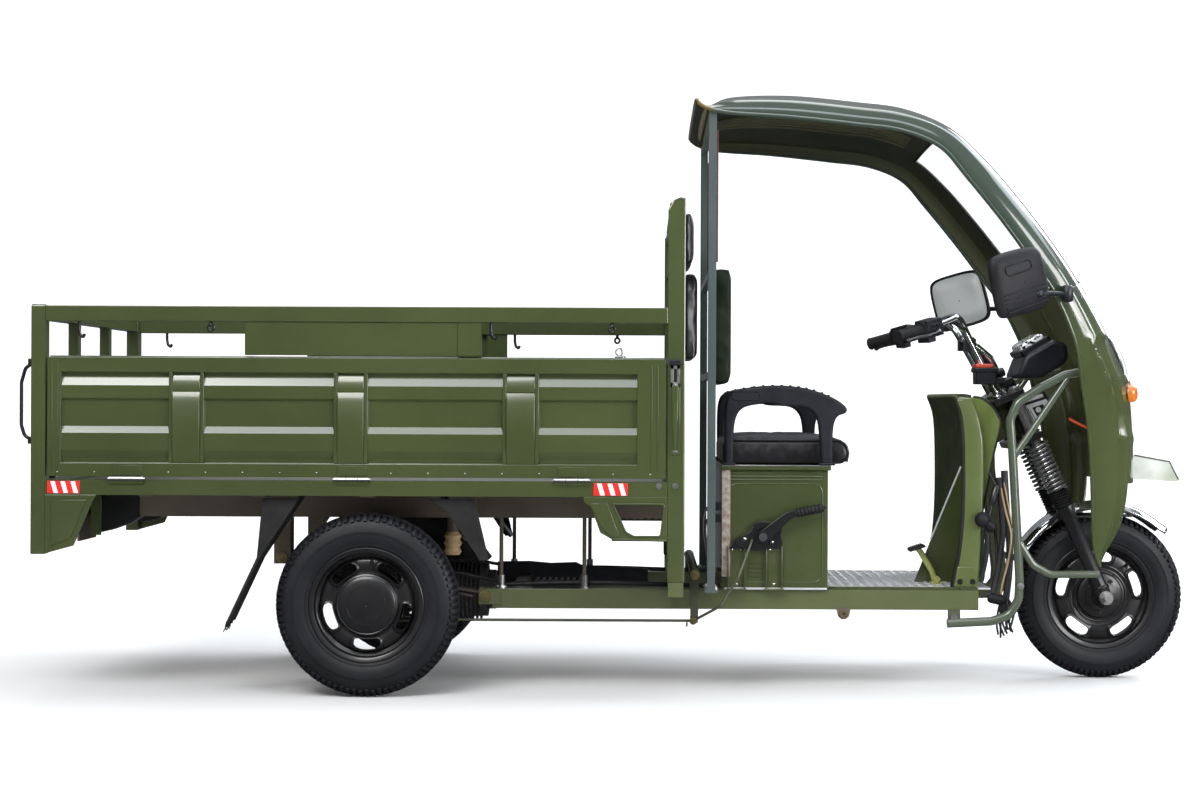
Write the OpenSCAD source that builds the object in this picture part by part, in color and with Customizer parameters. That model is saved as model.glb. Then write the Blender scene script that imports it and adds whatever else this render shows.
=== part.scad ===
// Electric cargo tricycle: drop-side load bed, open cab with roof canopy, fork-steered front wheel.
// Millimetres. +X forward, +Y to the vehicle's left, +Z up, ground at Z = 0, X centred on the overall length.

/* [Wheels] */
// Rear axle position along X
rear_axle_x = -726; // [-760:1:-700]
// Front axle position along X
front_axle_x = 1452; // [1452:1:1452]
// Rear tyre radius
rear_r = 260; // [255:1:262]
// Front tyre radius
front_r = 252; // [248:1:252]
// Rear tyre centre plane, distance from the middle
rear_track = 475; // [470:1:480]
// Tyre width at the rear
rear_tyre_w = 108; // [100:1:112]
// Tyre width at the front
front_tyre_w = 94; // [86:1:100]
// Rim radius under the bead
rim_r = 152; // [150:1:156]

/* [Load bed] */
// Half width over the bed sides
bed_y = 550; // [540:1:552]
// Rear face of the rear corner posts
bed_x0 = -1665; // [-1670:1:-1660]
// Rear face of the front posts
bed_x1 = 122; // [118:1:126]
// Top of the bed floor
floor_z = 600; // [596:1:604]
// Top edge of the drop panels
panel_z1 = 957; // [950:1:965]
// Top of the fixed guard rail
guard_z = 1102; // [1090:1:1110]
// Top of the headboard hoop
head_z = 1413; // [1400:1:1420]
// Square tube of the rear posts
post_w = 41; // [38:1:44]
// Square tube of the headboard posts
front_post_w = 49; // [44:1:52]

/* [Chassis] */
// Half distance between the chassis rails
rail_y = 300; // [290:1:310]
// Underside of the chassis rails
rail_z0 = 234; // [230:1:238]
// Top of the chassis rails
rail_z1 = 291; // [288:1:292]

/* [Cab] */
// Half width of the roof at its edge
roof_y = 450; // [445:1:455]
// Half width of the seat box
box_y = 330; // [325:1:335]
// Thickness of the moulded shells
shell_t = 9; // [8:1:12]
// Roundness of the shell sections, 2 is an ellipse
shell_n = 3; // [2.6:0.1:3.4]

/* [Steering] */
// Rake of the steering axis from the vertical, degrees
rake = 24; // [23:1:25]
// Distance of the fork legs ahead of the steering axis
fork_offset = 45; // [42:1:48]
// Half distance between the fork legs
fork_y = 92; // [90:1:96]

/* [Hidden] */
$fn = 48;

olive = [0.27, 0.33, 0.17];
black = [0.07, 0.07, 0.08];
steel = [0.72, 0.73, 0.74];
brown = [0.33, 0.27, 0.18];

// ---- shared helpers
module bx(x0, x1, y0, y1, z0, z1) { translate([x0, y0, z0]) cube([x1 - x0, y1 - y0, z1 - z0]); }
module both() { children(); mirror([0, 1, 0]) children(); }
// outline in the XZ plane, thickened from y0 to y1
module yplate(pts, y0, y1) { translate([0, y1, 0]) rotate([90, 0, 0]) linear_extrude(height = y1 - y0) polygon(pts); }
// outline in the YZ plane, thickened from x0 to x1
module xplate(pts, x0, x1) { translate([x0, 0, 0]) rotate([90, 0, 90]) linear_extrude(height = x1 - x0) polygon(pts); }
module rod(a, b, r) { v = b - a; L = norm(v); translate(a) rotate([0, acos(v[2] / L), atan2(v[1], v[0])]) cylinder(h = L, r = r); }
// bent tube: straight runs with a ball at each bend, slightly proud
module pipe(p, r) {
  for (i = [0 : len(p) - 2]) rod(p[i], p[i + 1], r);
  for (i = [1 : len(p) - 2]) translate(p[i]) sphere(r = r + 0.4);
}
module ycyl(x, z, r, y0, y1) { translate([x, y1, z]) rotate([90, 0, 0]) cylinder(h = y1 - y0, r = r); }
module xcyl(y, z, r, x0, x1) { translate([x0, y, z]) rotate([0, 90, 0]) cylinder(h = x1 - x0, r = r); }

// ---- steering frame: s runs up the axis from axle height, d ahead of it
sdir = [-sin(rake), 0, cos(rake)];
sfwd = [cos(rake), 0, sin(rake)];
axle = [front_axle_x, 0, front_r];
axis0 = axle - fork_offset * sfwd;
function sp(s, d, y) = axis0 + s * sdir + d * sfwd + [0, y, 0];
module in_steer() { translate(axis0) rotate([0, -rake, 0]) children(); }  // local x ahead, local z up the axis

// ---- moulded shells: stations along the roof and cowl
// columns: centre x, centre z, edge x, edge z, half width
ST = [
  [ 199, 1712,  202, 1700, roof_y - 8], [ 236, 1698,  232, 1679, roof_y - 4], [ 304, 1735,  300, 1664, roof_y],
  [ 475, 1744,  470, 1653, roof_y + 1], [ 671, 1727,  660, 1633, roof_y + 2], [ 813, 1708,  790, 1616, roof_y],
  [ 947, 1654,  900, 1570, roof_y],     [1059, 1562,  978, 1483, roof_y - 2], [1164, 1444, 1072, 1369, roof_y - 4],
  [1264, 1317, 1160, 1252, roof_y - 10],[1342, 1197, 1232, 1152, roof_y - 16],[1435, 1039, 1295, 1015, 412],
  [1503,  894, 1322,  890, 384],        [1523,  740, 1348,  757, 352],        [1525,  604, 1362,  620, 328],
  [1499,  485, 1369,  498, 312],        [1434,  396, 1377,  410, 302],        [1402,  356, 1394,  360, 297]];
inside = [700, 900];
function shell_pt(st, a, t) =
  let (d = inside - [st[0], st[1]], u = d / norm(d), c = [st[0], st[1]] + t * u,
       f = pow(max(sin(a), 0), 2 / shell_n), ca = cos(a))
  [st[2] + f * (c[0] - st[2]), -(st[4] - t) * sign(ca) * pow(abs(ca), 2 / shell_n), st[3] + f * (c[1] - st[3])];
// shell over stations i0..i1 and section angles a0..a1 (0 is the right edge, 90 the middle, 180 the left edge);
// keep(i, j) says which cells of the grid belong to it, so pillars and lobes come out of the same sheet
module shell(i0, i1, a0, a1, m, t0 = 0, t1 = shell_t, keep = function(i, j) true, tab = ST) {
  n = i1 - i0 + 1; k = m + 1;
  pts = [for (t = [t0, t1], i = [i0 : i1], j = [0 : m]) shell_pt(tab[i], a0 + (a1 - a0) * j / m, t)];
  function q(t, i, j) = t * n * k + i * k + j;
  function has(i, j) = i >= 0 && j >= 0 && i < n - 1 && j < m && keep(i, j);
  function quad(a, b, c, d) = [[c, b, a], [d, c, a]];
  faces = [for (i = [0 : n - 2], j = [0 : m - 1]) if (has(i, j)) each concat(
    quad(q(0,i,j), q(0,i+1,j), q(0,i+1,j+1), q(0,i,j+1)),
    quad(q(1,i,j), q(1,i,j+1), q(1,i+1,j+1), q(1,i+1,j)),
    has(i, j - 1) ? [] : quad(q(0,i,j), q(1,i,j), q(1,i+1,j), q(0,i+1,j)),
    has(i, j + 1) ? [] : quad(q(0,i,j+1), q(0,i+1,j+1), q(1,i+1,j+1), q(1,i,j+1)),
    has(i - 1, j) ? [] : quad(q(0,i,j), q(0,i,j+1), q(1,i,j+1), q(1,i,j)),
    has(i + 1, j) ? [] : quad(q(0,i+1,j), q(1,i+1,j), q(1,i+1,j+1), q(0,i+1,j+1)))];
  polyhedron(points = pts, faces = faces, convexity = 6);
}

// ---- chassis and bed structure
module chassis_rails() color(olive) {
  both() {
    bx(-384, 1034, rail_y - 20, rail_y + 20, rail_z0, rail_z1);
    for (s = [-1, 1]) bx(-424, -360, rail_y + s * 23 - 3, rail_y + s * 23 + 3, 246, rail_z1);
  }
  // cross members: x start, x end, bottom, top, half length
  for (c = [[-340, -300, 240, 285, 281], [300, 340, 240, 285, 281], [560, 600, 240, 285, 281], [994, 1034, 240, 285, 281], [bed_x1 + 3, bed_x1 + 46, rail_z1 - 1, 330, bed_y]])
    bx(c[0], c[1], -c[4], c[4], c[2], c[3]);
}
beam_z = 498;
module bed_subframe() color(brown) {
  both() {
    bx(-1411, 120, rail_y - 30, rail_y + 30, beam_z, 564);
    for (x = [-360, -117]) translate([x, rail_y, rail_z1]) cylinder(h = beam_z - rail_z1 + 1, r = 6);
    for (s = [-1, 1]) bx(-1020, -972, rail_y + s * 28 - 3, rail_y + s * 28 + 3, 362, beam_z + 1);
    bx(-1020, -972, rail_y - 30, rail_y + 30, 440, beam_z + 1);
    translate([-502, rail_y, 391]) cylinder(h = beam_z - 390, r = 16);
  }
}
module bed_crossmembers() color(brown)
  for (x = [-1590, -1350, -1030, -726, -420, -110]) bx(x - 22, x + 22, -bed_y + 40, bed_y - 40, 564, floor_z - 8);
sill_z0 = 570; sill_z1 = 612;
hinge_y = bed_y + 6; hinge_z = 616; hinge_x = bed_x0 - 1;
module bed_floor() color(olive) bx(bed_x0 + post_w, bed_x1, -bed_y + 40, bed_y - 40, floor_z - 8, floor_z);
module bed_sills() color(olive) {
  both() {
    bx(bed_x0 + post_w, bed_x1, bed_y - 40, bed_y, sill_z0, sill_z1);
    // hinge knuckles of the drop panels
    for (x = [-1394, -763, -146]) {
      xcyl(hinge_y, hinge_z, 6, x - 48, x + 48);
      bx(x - 48, x + 48, bed_y - 1, hinge_y, 603, hinge_z - 2);
    }
  }
  bx(bed_x0 + 1, bed_x0 + post_w, -bed_y + post_w, bed_y - post_w, sill_z0, sill_z1);
  bx(bed_x1, bed_x1 + front_post_w, -bed_y + front_post_w, bed_y - front_post_w, sill_z0, sill_z1);
  for (y = [-360, 0, 360]) {
    ycyl(hinge_x, hinge_z, 6, y - 45, y + 45);
    bx(hinge_x, bed_x0 + 2, y - 45, y + 45, 603, hinge_z - 2);
  }
}
module bed_posts() color(olive) both() {
  bx(bed_x0, bed_x0 + post_w, bed_y - post_w, bed_y, 403, guard_z);
  yplate([[bed_x1, 330], [bed_x1 + front_post_w, 330], [bed_x1 + front_post_w, head_z - 3], [bed_x1 + 34, head_z], [bed_x1 + 14, head_z - 8], [bed_x1, head_z - 34]], bed_y - front_post_w, bed_y);
}
module guard_rails() color(olive) {
  both() {
    bx(bed_x0 + post_w, bed_x1, bed_y - 38, bed_y, guard_z - 44, guard_z);
    // filler plate and uprights below the rail: x start, x end, outer y, inner y
    for (u = [[-1066, -468, bed_y - 4, bed_y - 10], [-468, -402, bed_y - 2, bed_y - 32], [-1066, -1040, bed_y - 10, bed_y - 32]])
      bx(u[0], u[1], u[3], u[2], panel_z1 + 7, guard_z - 43);
  }
  bx(bed_x0, bed_x0 + 38, -bed_y + post_w, bed_y - post_w, guard_z - 40, guard_z);
  for (y = [-175, 175]) bx(bed_x0 + 4, bed_x0 + 34, y - 16, y + 16, panel_z1 + 7, guard_z - 39);
}
module headboard() color(olive) {
  // cross rails between the front posts: bottom, top
  for (z = [[head_z - 60, head_z - 10], [1240, 1270], [1095, 1125], [955, 985], [760, 800]])
    bx(bed_x1 + 5, bed_x1 + front_post_w, -bed_y + front_post_w, bed_y - front_post_w, z[0], z[1]);
  for (y = [-260, 260]) bx(bed_x1 + 10, bed_x1 + 40, y - 15, y + 15, 799, head_z - 59);
  bx(bed_x1 + 14, bed_x1 + 20, -bed_y + front_post_w, bed_y - front_post_w, sill_z1, 960);
}
module headboard_cushions() color(black) {
  bx(173, 206, -220, 220, 1244, 1404);
  bx(173, 219, -220, 220, 962, 1223);
}
module rear_bumper() color(olive) {
  difference() {
    union() {
      bx(-1652, -1616, -430, 430, 440, 490);
      for (y = [-250, 250]) bx(-1652, -1622, y - 20, y + 20, 489, sill_z0);
      bx(-1658, -1651, -95, 95, 408, 560);
    }
    // blank plate fixing holes and the tow pin hole
    for (y = [-70, 70]) translate([-1670, y, 530]) rotate([0, 90, 0]) cylinder(h = 60, r = 4);
  }
  difference() {
    bx(-1616, -1560, -40, 40, 452, 478);
    translate([-1585, 0, 440]) cylinder(h = 60, r = 11);
  }
}
module tail_lights() color([0.7, 0.06, 0.05]) both() bx(-1664, -1652.2, 210, 400, 446, 486);
module side_brackets() color(olive) both() {
  difference() {
    yplate([[-112, sill_z0], [-112, 556], [-92, 542], [-66, 470], [-34, 452], [bed_x1, 446], [bed_x1, sill_z0]], bed_y - 8, bed_y);
    yplate([[-28, 548], [8, 472], [28, 462], [102, 462], [112, 548]], bed_y - 20, bed_y + 10);
  }
  bx(-34, bed_x1, bed_y - 120, bed_y - 7, 446, 452);
  yplate([[bed_x0 + post_w, sill_z0], [-1480, sill_z0], [-1490, 552], [-1544, 427], [bed_x0 + post_w, 405]], bed_y - 6, bed_y);
}
module leaf_springs() color([0.16, 0.15, 0.14]) both() {
  difference() {
    union() {
      yplate([[-406, 283], [-560, 306], [-726, 312], [-880, 342], [-1000, 392], [-1000, 380], [-880, 330], [-726, 300], [-560, 294], [-406, 271]], rail_y - 19, rail_y + 19);
      yplate([[-500, 295], [-726, 303], [-930, 355], [-930, 343], [-726, 293], [-500, 285]], rail_y - 19, rail_y + 19);
      ycyl(-406, 271, 17, rail_y - 19, rail_y + 19);
      ycyl(-996, 380, 17, rail_y - 19, rail_y + 19);
      bx(-766, -686, rail_y - 19, rail_y + 19, 293, 330);
    }
    ycyl(-406, 271, 7, rail_y - 30, rail_y + 30);
    ycyl(-996, 380, 7, rail_y - 30, rail_y + 30);
  }
}
drum_y0 = 392; drum_y1 = 414;
module rear_axle() color([0.12, 0.12, 0.12]) {
  both() {
    ycyl(rear_axle_x, rear_r, 32, 60, drum_y0 + 1);
    ycyl(rear_axle_x, rear_r, 96, drum_y0, drum_y1);
    ycyl(rear_axle_x, rear_r, 15, drum_y1 - 1, rear_track + 32);
  }
  ycyl(rear_axle_x, rear_r, 98, -70, 70);
}
module drive_motor() color([0.2, 0.2, 0.21]) union() {
  xcyl(0, rear_r, 82, rear_axle_x + 99, -420);
  xcyl(0, rear_r, 60, -421, -396);
}
module mud_flaps() color(black) both() {
  yplate([[-917, sill_z0], [-1035, 392], [-1119, 212], [-1112, 208], [-1028, 388], [-909, sill_z0]], rear_track - 48, rear_track + 52);
  yplate([[-1018, sill_z0 - 8], [-918, sill_z0 - 8], [-1034, 392]], rear_track + 47, rear_track + 52);
  yplate([[-520, sill_z0], [-384, 389], [-377, 393], [-511, sill_z0]], rear_track - 48, rear_track + 52);
  yplate([[-518, sill_z0 - 8], [-460, sill_z0 - 8], [-384, 400]], rear_track + 47, rear_track + 52);
}
module bed_latches() color(steel) both() {
  // drop-side latch on the headboard post
  bx(bed_x1 + 6, bed_x1 + 36, bed_y, bed_y + 6, 690, 950);
  translate([bed_x1 + 21, bed_y + 5, 905]) rotate([-90, 0, 0]) cylinder(h = 12, r = 15);
  // tailgate latch behind the rear post
  yplate([[bed_x0, 955], [bed_x0, 925], [-1690, 880], [-1690, 760], [bed_x0, 740], [bed_x0, 712], [-1692, 720], [-1704, 760], [-1704, 890], [-1684, 945]], bed_y - 30, bed_y - 12);
}

// ---- drop panels, drawn closed: a frame round a pressed sheet with ledges, and stakes over it
panel_x0 = bed_x0 + post_w + 6; panel_x1 = bed_x1 - 6; panel_z0 = 622;
// pressed profile from the bottom up, columns: depth behind the outer face, height
pressed = [[12, 659], [12, 672], [4, 695], [4, 744], [14, 763], [14, 836], [4, 842], [4, 878], [16, 904], [16, 916]];
stake = [[8, 655], [2, 672], [2, 853], [9, 880], [9, 893], [14, 907], [14, 916]];
sheet_back = 22;
// extrusion along X of a profile given as depth and height, closed by a flat back
module pressing(prof, x0, x1) xplate(concat([for (q = prof) [bed_y - q[0], q[1]]], [[bed_y - sheet_back, prof[len(prof) - 1][1]], [bed_y - sheet_back, prof[0][1]]]), x0, x1);
module side_panel() color(olive) {
  difference() {
    bx(panel_x0, panel_x1, bed_y - 34, bed_y, panel_z0, panel_z1);
    bx(-1580, 37, bed_y - 60, bed_y + 20, 660, 915);
  }
  pressing(pressed, -1581, 38);
  for (q = [[-1275, -1183], [-812, -723], [-338, -243]]) pressing(stake, q[0], q[1]);
}
module side_panel_left() side_panel();
module side_panel_right() mirror([0, 1, 0]) side_panel();
gate_y = bed_y - 47; gate_x = hinge_x + 6;
module tailgate() color(olive) {
  difference() {
    bx(gate_x, gate_x + 34, -gate_y, gate_y, panel_z0, panel_z1);
    bx(gate_x - 20, gate_x + 60, -gate_y + 40, gate_y - 40, 660, 915);
  }
  // the same pressed sheet, facing the tail, with two stakes
  rotate([0, 0, 90]) translate([0, -gate_x - bed_y, 0]) {
    pressing(pressed, -gate_y + 39, gate_y - 39);
    for (q = [-170, 170]) pressing(stake, q - 46, q + 46);
  }
}

// ---- cab
box_x0 = 285; box_x1 = 593; box_z1 = 640;
module seat_box() color(olive) difference() {
  bx(box_x0, box_x1, -box_y, box_y, rail_z1, box_z1);
  bx(box_x0 + 4, box_x1 - 4, -box_y + 4, box_y - 4, rail_z1 + 4, box_z1 + 5);
}
module seat_lid() color(olive) bx(box_x0 - 6, box_x1 + 8, -box_y - 12, box_y + 12, box_z1, 655);
module battery_pack() color([0.1, 0.12, 0.16]) bx(box_x0 + 24, box_x1 - 24, -300, 300, rail_z1 + 4, 560);
module seat_cushion() color(black) bx(283, 656, -288, 288, 656, 732);
arm_y0 = 292; arm_y1 = 342;
module armrests() color(black) both() difference() {
  yplate([[292, 655], [316, 655], [316, 760], [326, 806], [352, 828], [430, 836], [452, 826], [520, 826], [548, 812], [566, 780], [572, 655], [606, 655], [604, 760], [616, 800], [644, 806], [648, 824],
          [610, 852], [540, 878], [470, 888], [390, 886], [318, 872], [296, 850], [290, 800]], arm_y0, arm_y1);
}
module hand_brake() color([0.09, 0.09, 0.1]) {
  yplate([[300, 294], [352, 294], [352, 402], [411, 402], [411, 294], [460, 294], [460, 418], [457, 492], [383, 487], [366, 461], [313, 435], [300, 420]], -box_y - 14, -box_y - 1);
  rod([402, -box_y - 26, 454], [484, -box_y - 26, 514], 8);
  rod([476, -box_y - 26, 512], [576, -box_y - 26, 533], 12);
  ycyl(402, 454, 14, -box_y - 36, -box_y - 12);
}
shaft_x = 204; shaft_z = 341; lever_y = 386;
module brake_linkage() color([0.45, 0.44, 0.36]) {
  ycyl(shaft_x, shaft_z, 15, -lever_y - 20, lever_y);
  both() bx(shaft_x - 12, shaft_x + 12, rail_y - 8, rail_y + 8, rail_z1, shaft_z);
  both() yplate([[shaft_x - 14, shaft_z + 8], [shaft_x + 14, shaft_z + 8], [shaft_x + 10, 200], [shaft_x - 12, 200]], lever_y - 14, lever_y - 6);
  both() rod([shaft_x - 4, lever_y - 10, 206], [rear_axle_x + 60, lever_y - 10, 206], 4);
  both() bx(rear_axle_x + 40, rear_axle_x + 62, lever_y - 14, drum_y0, 190, 222);
  // cable from the hand brake down to the cross shaft
  pipe([[372, -box_y - 20, 440], [330, -372, 330], [280, -385, 250], [shaft_x + 8, -lever_y + 10, 212]], 4);
}
module footboard() color(steel) bx(box_x1 + 3, 1075, -290, 290, rail_z1, rail_z1 + 6);
wing_a = 9;
module leg_shield() color(olive) {
  // two wings that meet in a shallow V, each with a side flange and a fin ahead of it
  both() {
    translate([980, 280, 0]) rotate([0, 0, wing_a]) translate([-980, 0, 0]) yplate([[960, rail_z1 + 7], [990, 500], [986, 790], [965, 857], [975, 858], [996, 792], [1000, 500], [974, rail_z1 + 7]], -290, 0);
    yplate([[966, rail_z1 + 7], [994, 500], [990, 790], [969, 857], [1019, 857], [1052, 716], [1044, 407], [1038, rail_z1 + 7]], 271, 280);
    yplate([[1015, 856], [1050, 852], [1096, 804], [1106, 775], [1085, 680], [1060, 550], [1040, 450], [1040, 500], [1045, 716]], 263, 272);
  }
}
module brake_pedal() color([0.42, 0.45, 0.16]) {
  yplate([[922, rail_z1 + 6], [940, rail_z1 + 6], [916, 352], [892, 400], [874, 400], [898, 348]], -159, -141);
  bx(852, 896, -185, -115, 399, 409);
}
post_x0 = 238; post_x1 = 261;
module cab_posts() color(olive) {
  both() {
    bx(post_x0, post_x1, 408, 432, rail_z1, 1678);
    bx(post_x0 - 6, post_x1 + 8, rail_y - 20, 432, rail_z1, rail_z1 + 9);
  }
  for (z = [[1648, 1672], [1196, 1216], [905, 925]]) bx(post_x0 + 1, post_x1 - 1, -409, 409, z[0], z[1]);
}
module back_pad() color(black) bx(post_x1 + 2, 316, -205, 205, 889, 1238);

// ---- moulded front and roof; pillar_a is where the pillars end and the windscreen starts
pillar_a = 36;
module roof_canopy() color(olive) shell(0, 10, 0, 180, 30, keep = function(i, j) i < 6 || j < 6 || j > 23);
// the screen's own stations stop just short of the roof and the cowl
screen_st = [ST[6] + 0.012 * (ST[7] - ST[6]), ST[7], ST[8], ST[9], ST[10] + 0.012 * (ST[9] - ST[10])];
module windscreen() color([0.8, 0.88, 0.9, 0.3]) shell(0, 4, pillar_a + 0.4, 180 - pillar_a - 0.4, 16, 2, 6, tab = screen_st);
module front_cowl() color(olive) shell(10, 17, 0, 180, 30, keep = function(i, j) i < 4 || j < 6 || j > 23);
module plate_bracket() color([0.78, 0.8, 0.78]) difference() {
  union() {
    // folded tray: top, sloping front and two cheeks
    yplate([[1529, 684], [1640, 664], [1668, 610], [1663, 607], [1636, 658], [1529, 677]], -120, 120);
    for (y = [-120, 116]) yplate([[1529, 684], [1640, 664], [1668, 610], [1664, 604], [1529, 612]], y, y + 4);
  }
  for (y = [-70, 70]) translate([1590, y, 600]) cylinder(h = 120, r = 4);
}
module headlight() color([0.9, 0.93, 0.95, 0.5]) shell(11, 12, 68, 112, 8, -9, -0.6);
module turn_signals() color([0.95, 0.45, 0.05]) both() rod([1470, 268, 868], [1499, 279, 870], 28);
module mirrors() color(black) both() {
  translate([1110, 541, 1178]) rotate([0, 0, -29]) rotate([0, -17, 0])
    yplate([[-84, -86], [70, -94], [94, -70], [98, 60], [78, 88], [-60, 96], [-92, 78], [-98, -64]], -14, 12);
  rod([1172, 522, 1148], [1262, 446, 1150], 8);
  rod([1262, 452, 1130], [1262, 452, 1174], 16);
}
tube_y = 336; tube_r = 13;
module guard_tubes() color(olive) both() {
  pipe([[1402, tube_y, 944], [1281, tube_y, 922], [1212, tube_y, 886], [1143, tube_y, 841], [1121, tube_y, 790], [1128, tube_y, 700], [1150, tube_y, 330], [1148, tube_y, 268], [1122, tube_y, 222], [1070, tube_y, 204], [940, tube_y, 197]], tube_r);
  rod([1296, tube_y, 924], [1131, tube_y, 680], tube_r - 3);
  pipe([[1144, tube_y, 440], [1190, tube_y - 6, 368], [1240, tube_y - 8, 340], [1386, tube_y - 24, 340]], tube_r - 2);
  bx(946, 980, rail_y + 4, tube_y - 12, 192, rail_z0);
}
module head_tube() color(olive) difference() {
  union() {
    in_steer() translate([0, 0, 546]) cylinder(h = 108, r = 27);
    yplate([[1141, 814], [1177, 734], [1130, 713], [1132, 640], [1168, 330], [1166, 275], [1150, 248], [1130, 241], [1034, 241], [1034, 284], [1112, 284], [1124, 300], [1126, 330], [1092, 640], [1090, 720], [1112, 800]], -20, 20);
  }
  in_steer() translate([0, 0, 400]) cylinder(h = 400, r = 17.05);
}

// ---- steered parts
module fork_clamps() color(black) {
  in_steer() translate([0, 0, 521]) cylinder(h = 150, r = 17);
  in_steer() for (s = [520, 660]) difference() {
    translate([-28, -fork_y - 26, s]) cube([fork_offset + 54, 2 * fork_y + 52, 20]);
    for (y = [-fork_y, fork_y]) translate([fork_offset, y, s - 5]) cylinder(h = 30, r = 17.2);
  }
}
module fork_legs() color(black) in_steer() for (y = [-fork_y, fork_y]) difference() {
  union() {
    translate([fork_offset, y, 300]) cylinder(h = 388, r = 17);
    translate([fork_offset, y, -26]) cylinder(h = 330, r = 24);
  }
  translate([fork_offset, y - 40, 0]) rotate([-90, 0, 0]) cylinder(h = 80, r = 10.05);
}
module fork_springs() color(steel) in_steer() for (y = [-fork_y, fork_y]) translate([fork_offset, y, 305])
  rotate_extrude() polygon(concat([for (i = [0 : 24]) [i % 2 == 0 ? 31 : 27, i * 8.7]], [[18, 208.8], [18, 0]]));
bar = [sp(683, 0, 55), [1015, 78, 1080], [985, 170, 1094], [905, 286, 1062], [795, 368, 1030]];
module handlebar() color(steel) {
  both() pipe(bar, 11);
  in_steer() for (y = [-55, 55]) translate([0, y, 680]) cylinder(h = 10, r = 15);
  rod([1040, -70, 1030], [1040, 70, 1030], 8);
}
module hand_grips() color(black) both() difference() {
  v = (bar[4] - bar[3]) / norm(bar[4] - bar[3]);
  union() { rod(bar[3] + 22 * v, bar[4] + 8 * v, 17); rod(bar[3] + 16 * v, bar[3] + 52 * v, 24); }
  rod(bar[3], bar[4] + 0.5 * v, 11.3);
}
module instrument_pod() color(black) {
  yplate([[1180, 900], [1206, 985], [1290, 1034], [1336, 1020], [1340, 950], [1262, 892]], -104, 104);
  in_steer() translate([24, -36, 680.5]) cube([48, 72, 34]);
}
module horn() color(steel) in_steer() {
  translate([66, 0, 596]) rotate([0, 90, 0]) cylinder(h = 40, r = 40);
  translate([71.2, -12, 520]) cube([8, 24, 60]);
}
module front_mudguard() color(steel) {
  translate(axle) rotate([90, 0, 0]) rotate([0, 0, 46]) rotate_extrude(angle = 100) polygon([[282, -60], [287, -60], [287, 60], [282, 60]]);
  in_steer() both() translate([fork_offset - 14, 58, 272]) cube([28, fork_y - 24.3 - 58, 12]);
}
module front_axle() color(steel) {
  translate(axle) rotate([90, 0, 0]) translate([0, 0, -132]) cylinder(h = 264, r = 10);
  both() translate(axle + [0, 117, 0]) rotate([-90, 0, 0]) cylinder(h = 14, r = 17, $fn = 6);
}

// ---- wheels, drawn about the Y axis through their centre; the open face looks to -Y
module tyre(r, w) color(black) rotate([90, 0, 0]) rotate_extrude($fn = 96)
  polygon([[rim_r, -w / 2 + 14], [rim_r + 34, -w / 2], [r - 34, -w / 2], [r - 10, -w / 2 + 10], [r, -w / 2 + 30],
           [r, w / 2 - 30], [r - 10, w / 2 - 10], [r - 34, w / 2], [rim_r + 34, w / 2], [rim_r, w / 2 - 14]]);
// steel disc wheel with five oval windows, hub and bore; turn sets the first window
module rim(w, hub_y0, hub_y1, bore, turn) color([0.05, 0.05, 0.055]) difference() {
  union() {
    rotate([90, 0, 0]) rotate_extrude($fn = 96) polygon([[rim_r - 12, -w / 2 + 12], [rim_r, -w / 2 + 14], [rim_r, w / 2 - 14], [rim_r - 12, w / 2 - 12]]);
    rotate([90, 0, 0]) translate([0, 0, 6]) cylinder(h = 10, r = rim_r - 11);
    ycyl(0, 0, 58, hub_y0, hub_y1);
  }
  ycyl(0, 0, bore, hub_y0 - 5, hub_y1 + 5);
  for (k = [0 : 4]) rotate([0, -(turn + 72 * k), 0]) translate([104, 0, 0]) {
    bx(-20, 20, -30, 10, -24, 24);
    for (z = [-24, 24]) ycyl(0, z, 20, -30, 10);
  }
}
module front_tyre() translate(axle) tyre(front_r, front_tyre_w);
module front_rim() translate(axle) rim(front_tyre_w, -60, 60, 10.06, 18);
module rear_tyre_left() translate([rear_axle_x, rear_track, rear_r]) tyre(rear_r, rear_tyre_w);
module rear_tyre_right() translate([rear_axle_x, -rear_track, rear_r]) tyre(rear_r, rear_tyre_w);
module rear_rim_right() translate([rear_axle_x, -rear_track, rear_r]) rim(rear_tyre_w, -36, 55, 15.06, 54);
module rear_rim_left() mirror([0, 1, 0]) rear_rim_right();

chassis_rails();
bed_subframe();
bed_crossmembers();
bed_floor();
bed_sills();
bed_posts();
guard_rails();
headboard();
headboard_cushions();
rear_bumper();
tail_lights();
side_brackets();
leaf_springs();
rear_axle();
drive_motor();
mud_flaps();
bed_latches();
seat_box();
seat_lid();
battery_pack();
seat_cushion();
armrests();
hand_brake();
brake_linkage();
footboard();
leg_shield();
brake_pedal();
cab_posts();
back_pad();
roof_canopy();
windscreen();
front_cowl();
plate_bracket();
headlight();
turn_signals();
mirrors();
guard_tubes();
head_tube();
fork_clamps();
fork_legs();
fork_springs();
handlebar();
hand_grips();
instrument_pod();
horn();
front_mudguard();
front_axle();
front_tyre();
front_rim();
rear_tyre_left();
rear_rim_left();
rear_tyre_right();
rear_rim_right();
side_panel_left();
side_panel_right();
tailgate();
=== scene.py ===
import math
import random

import bmesh
import bpy
import numpy as np
from mathutils import Matrix, Vector


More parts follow.
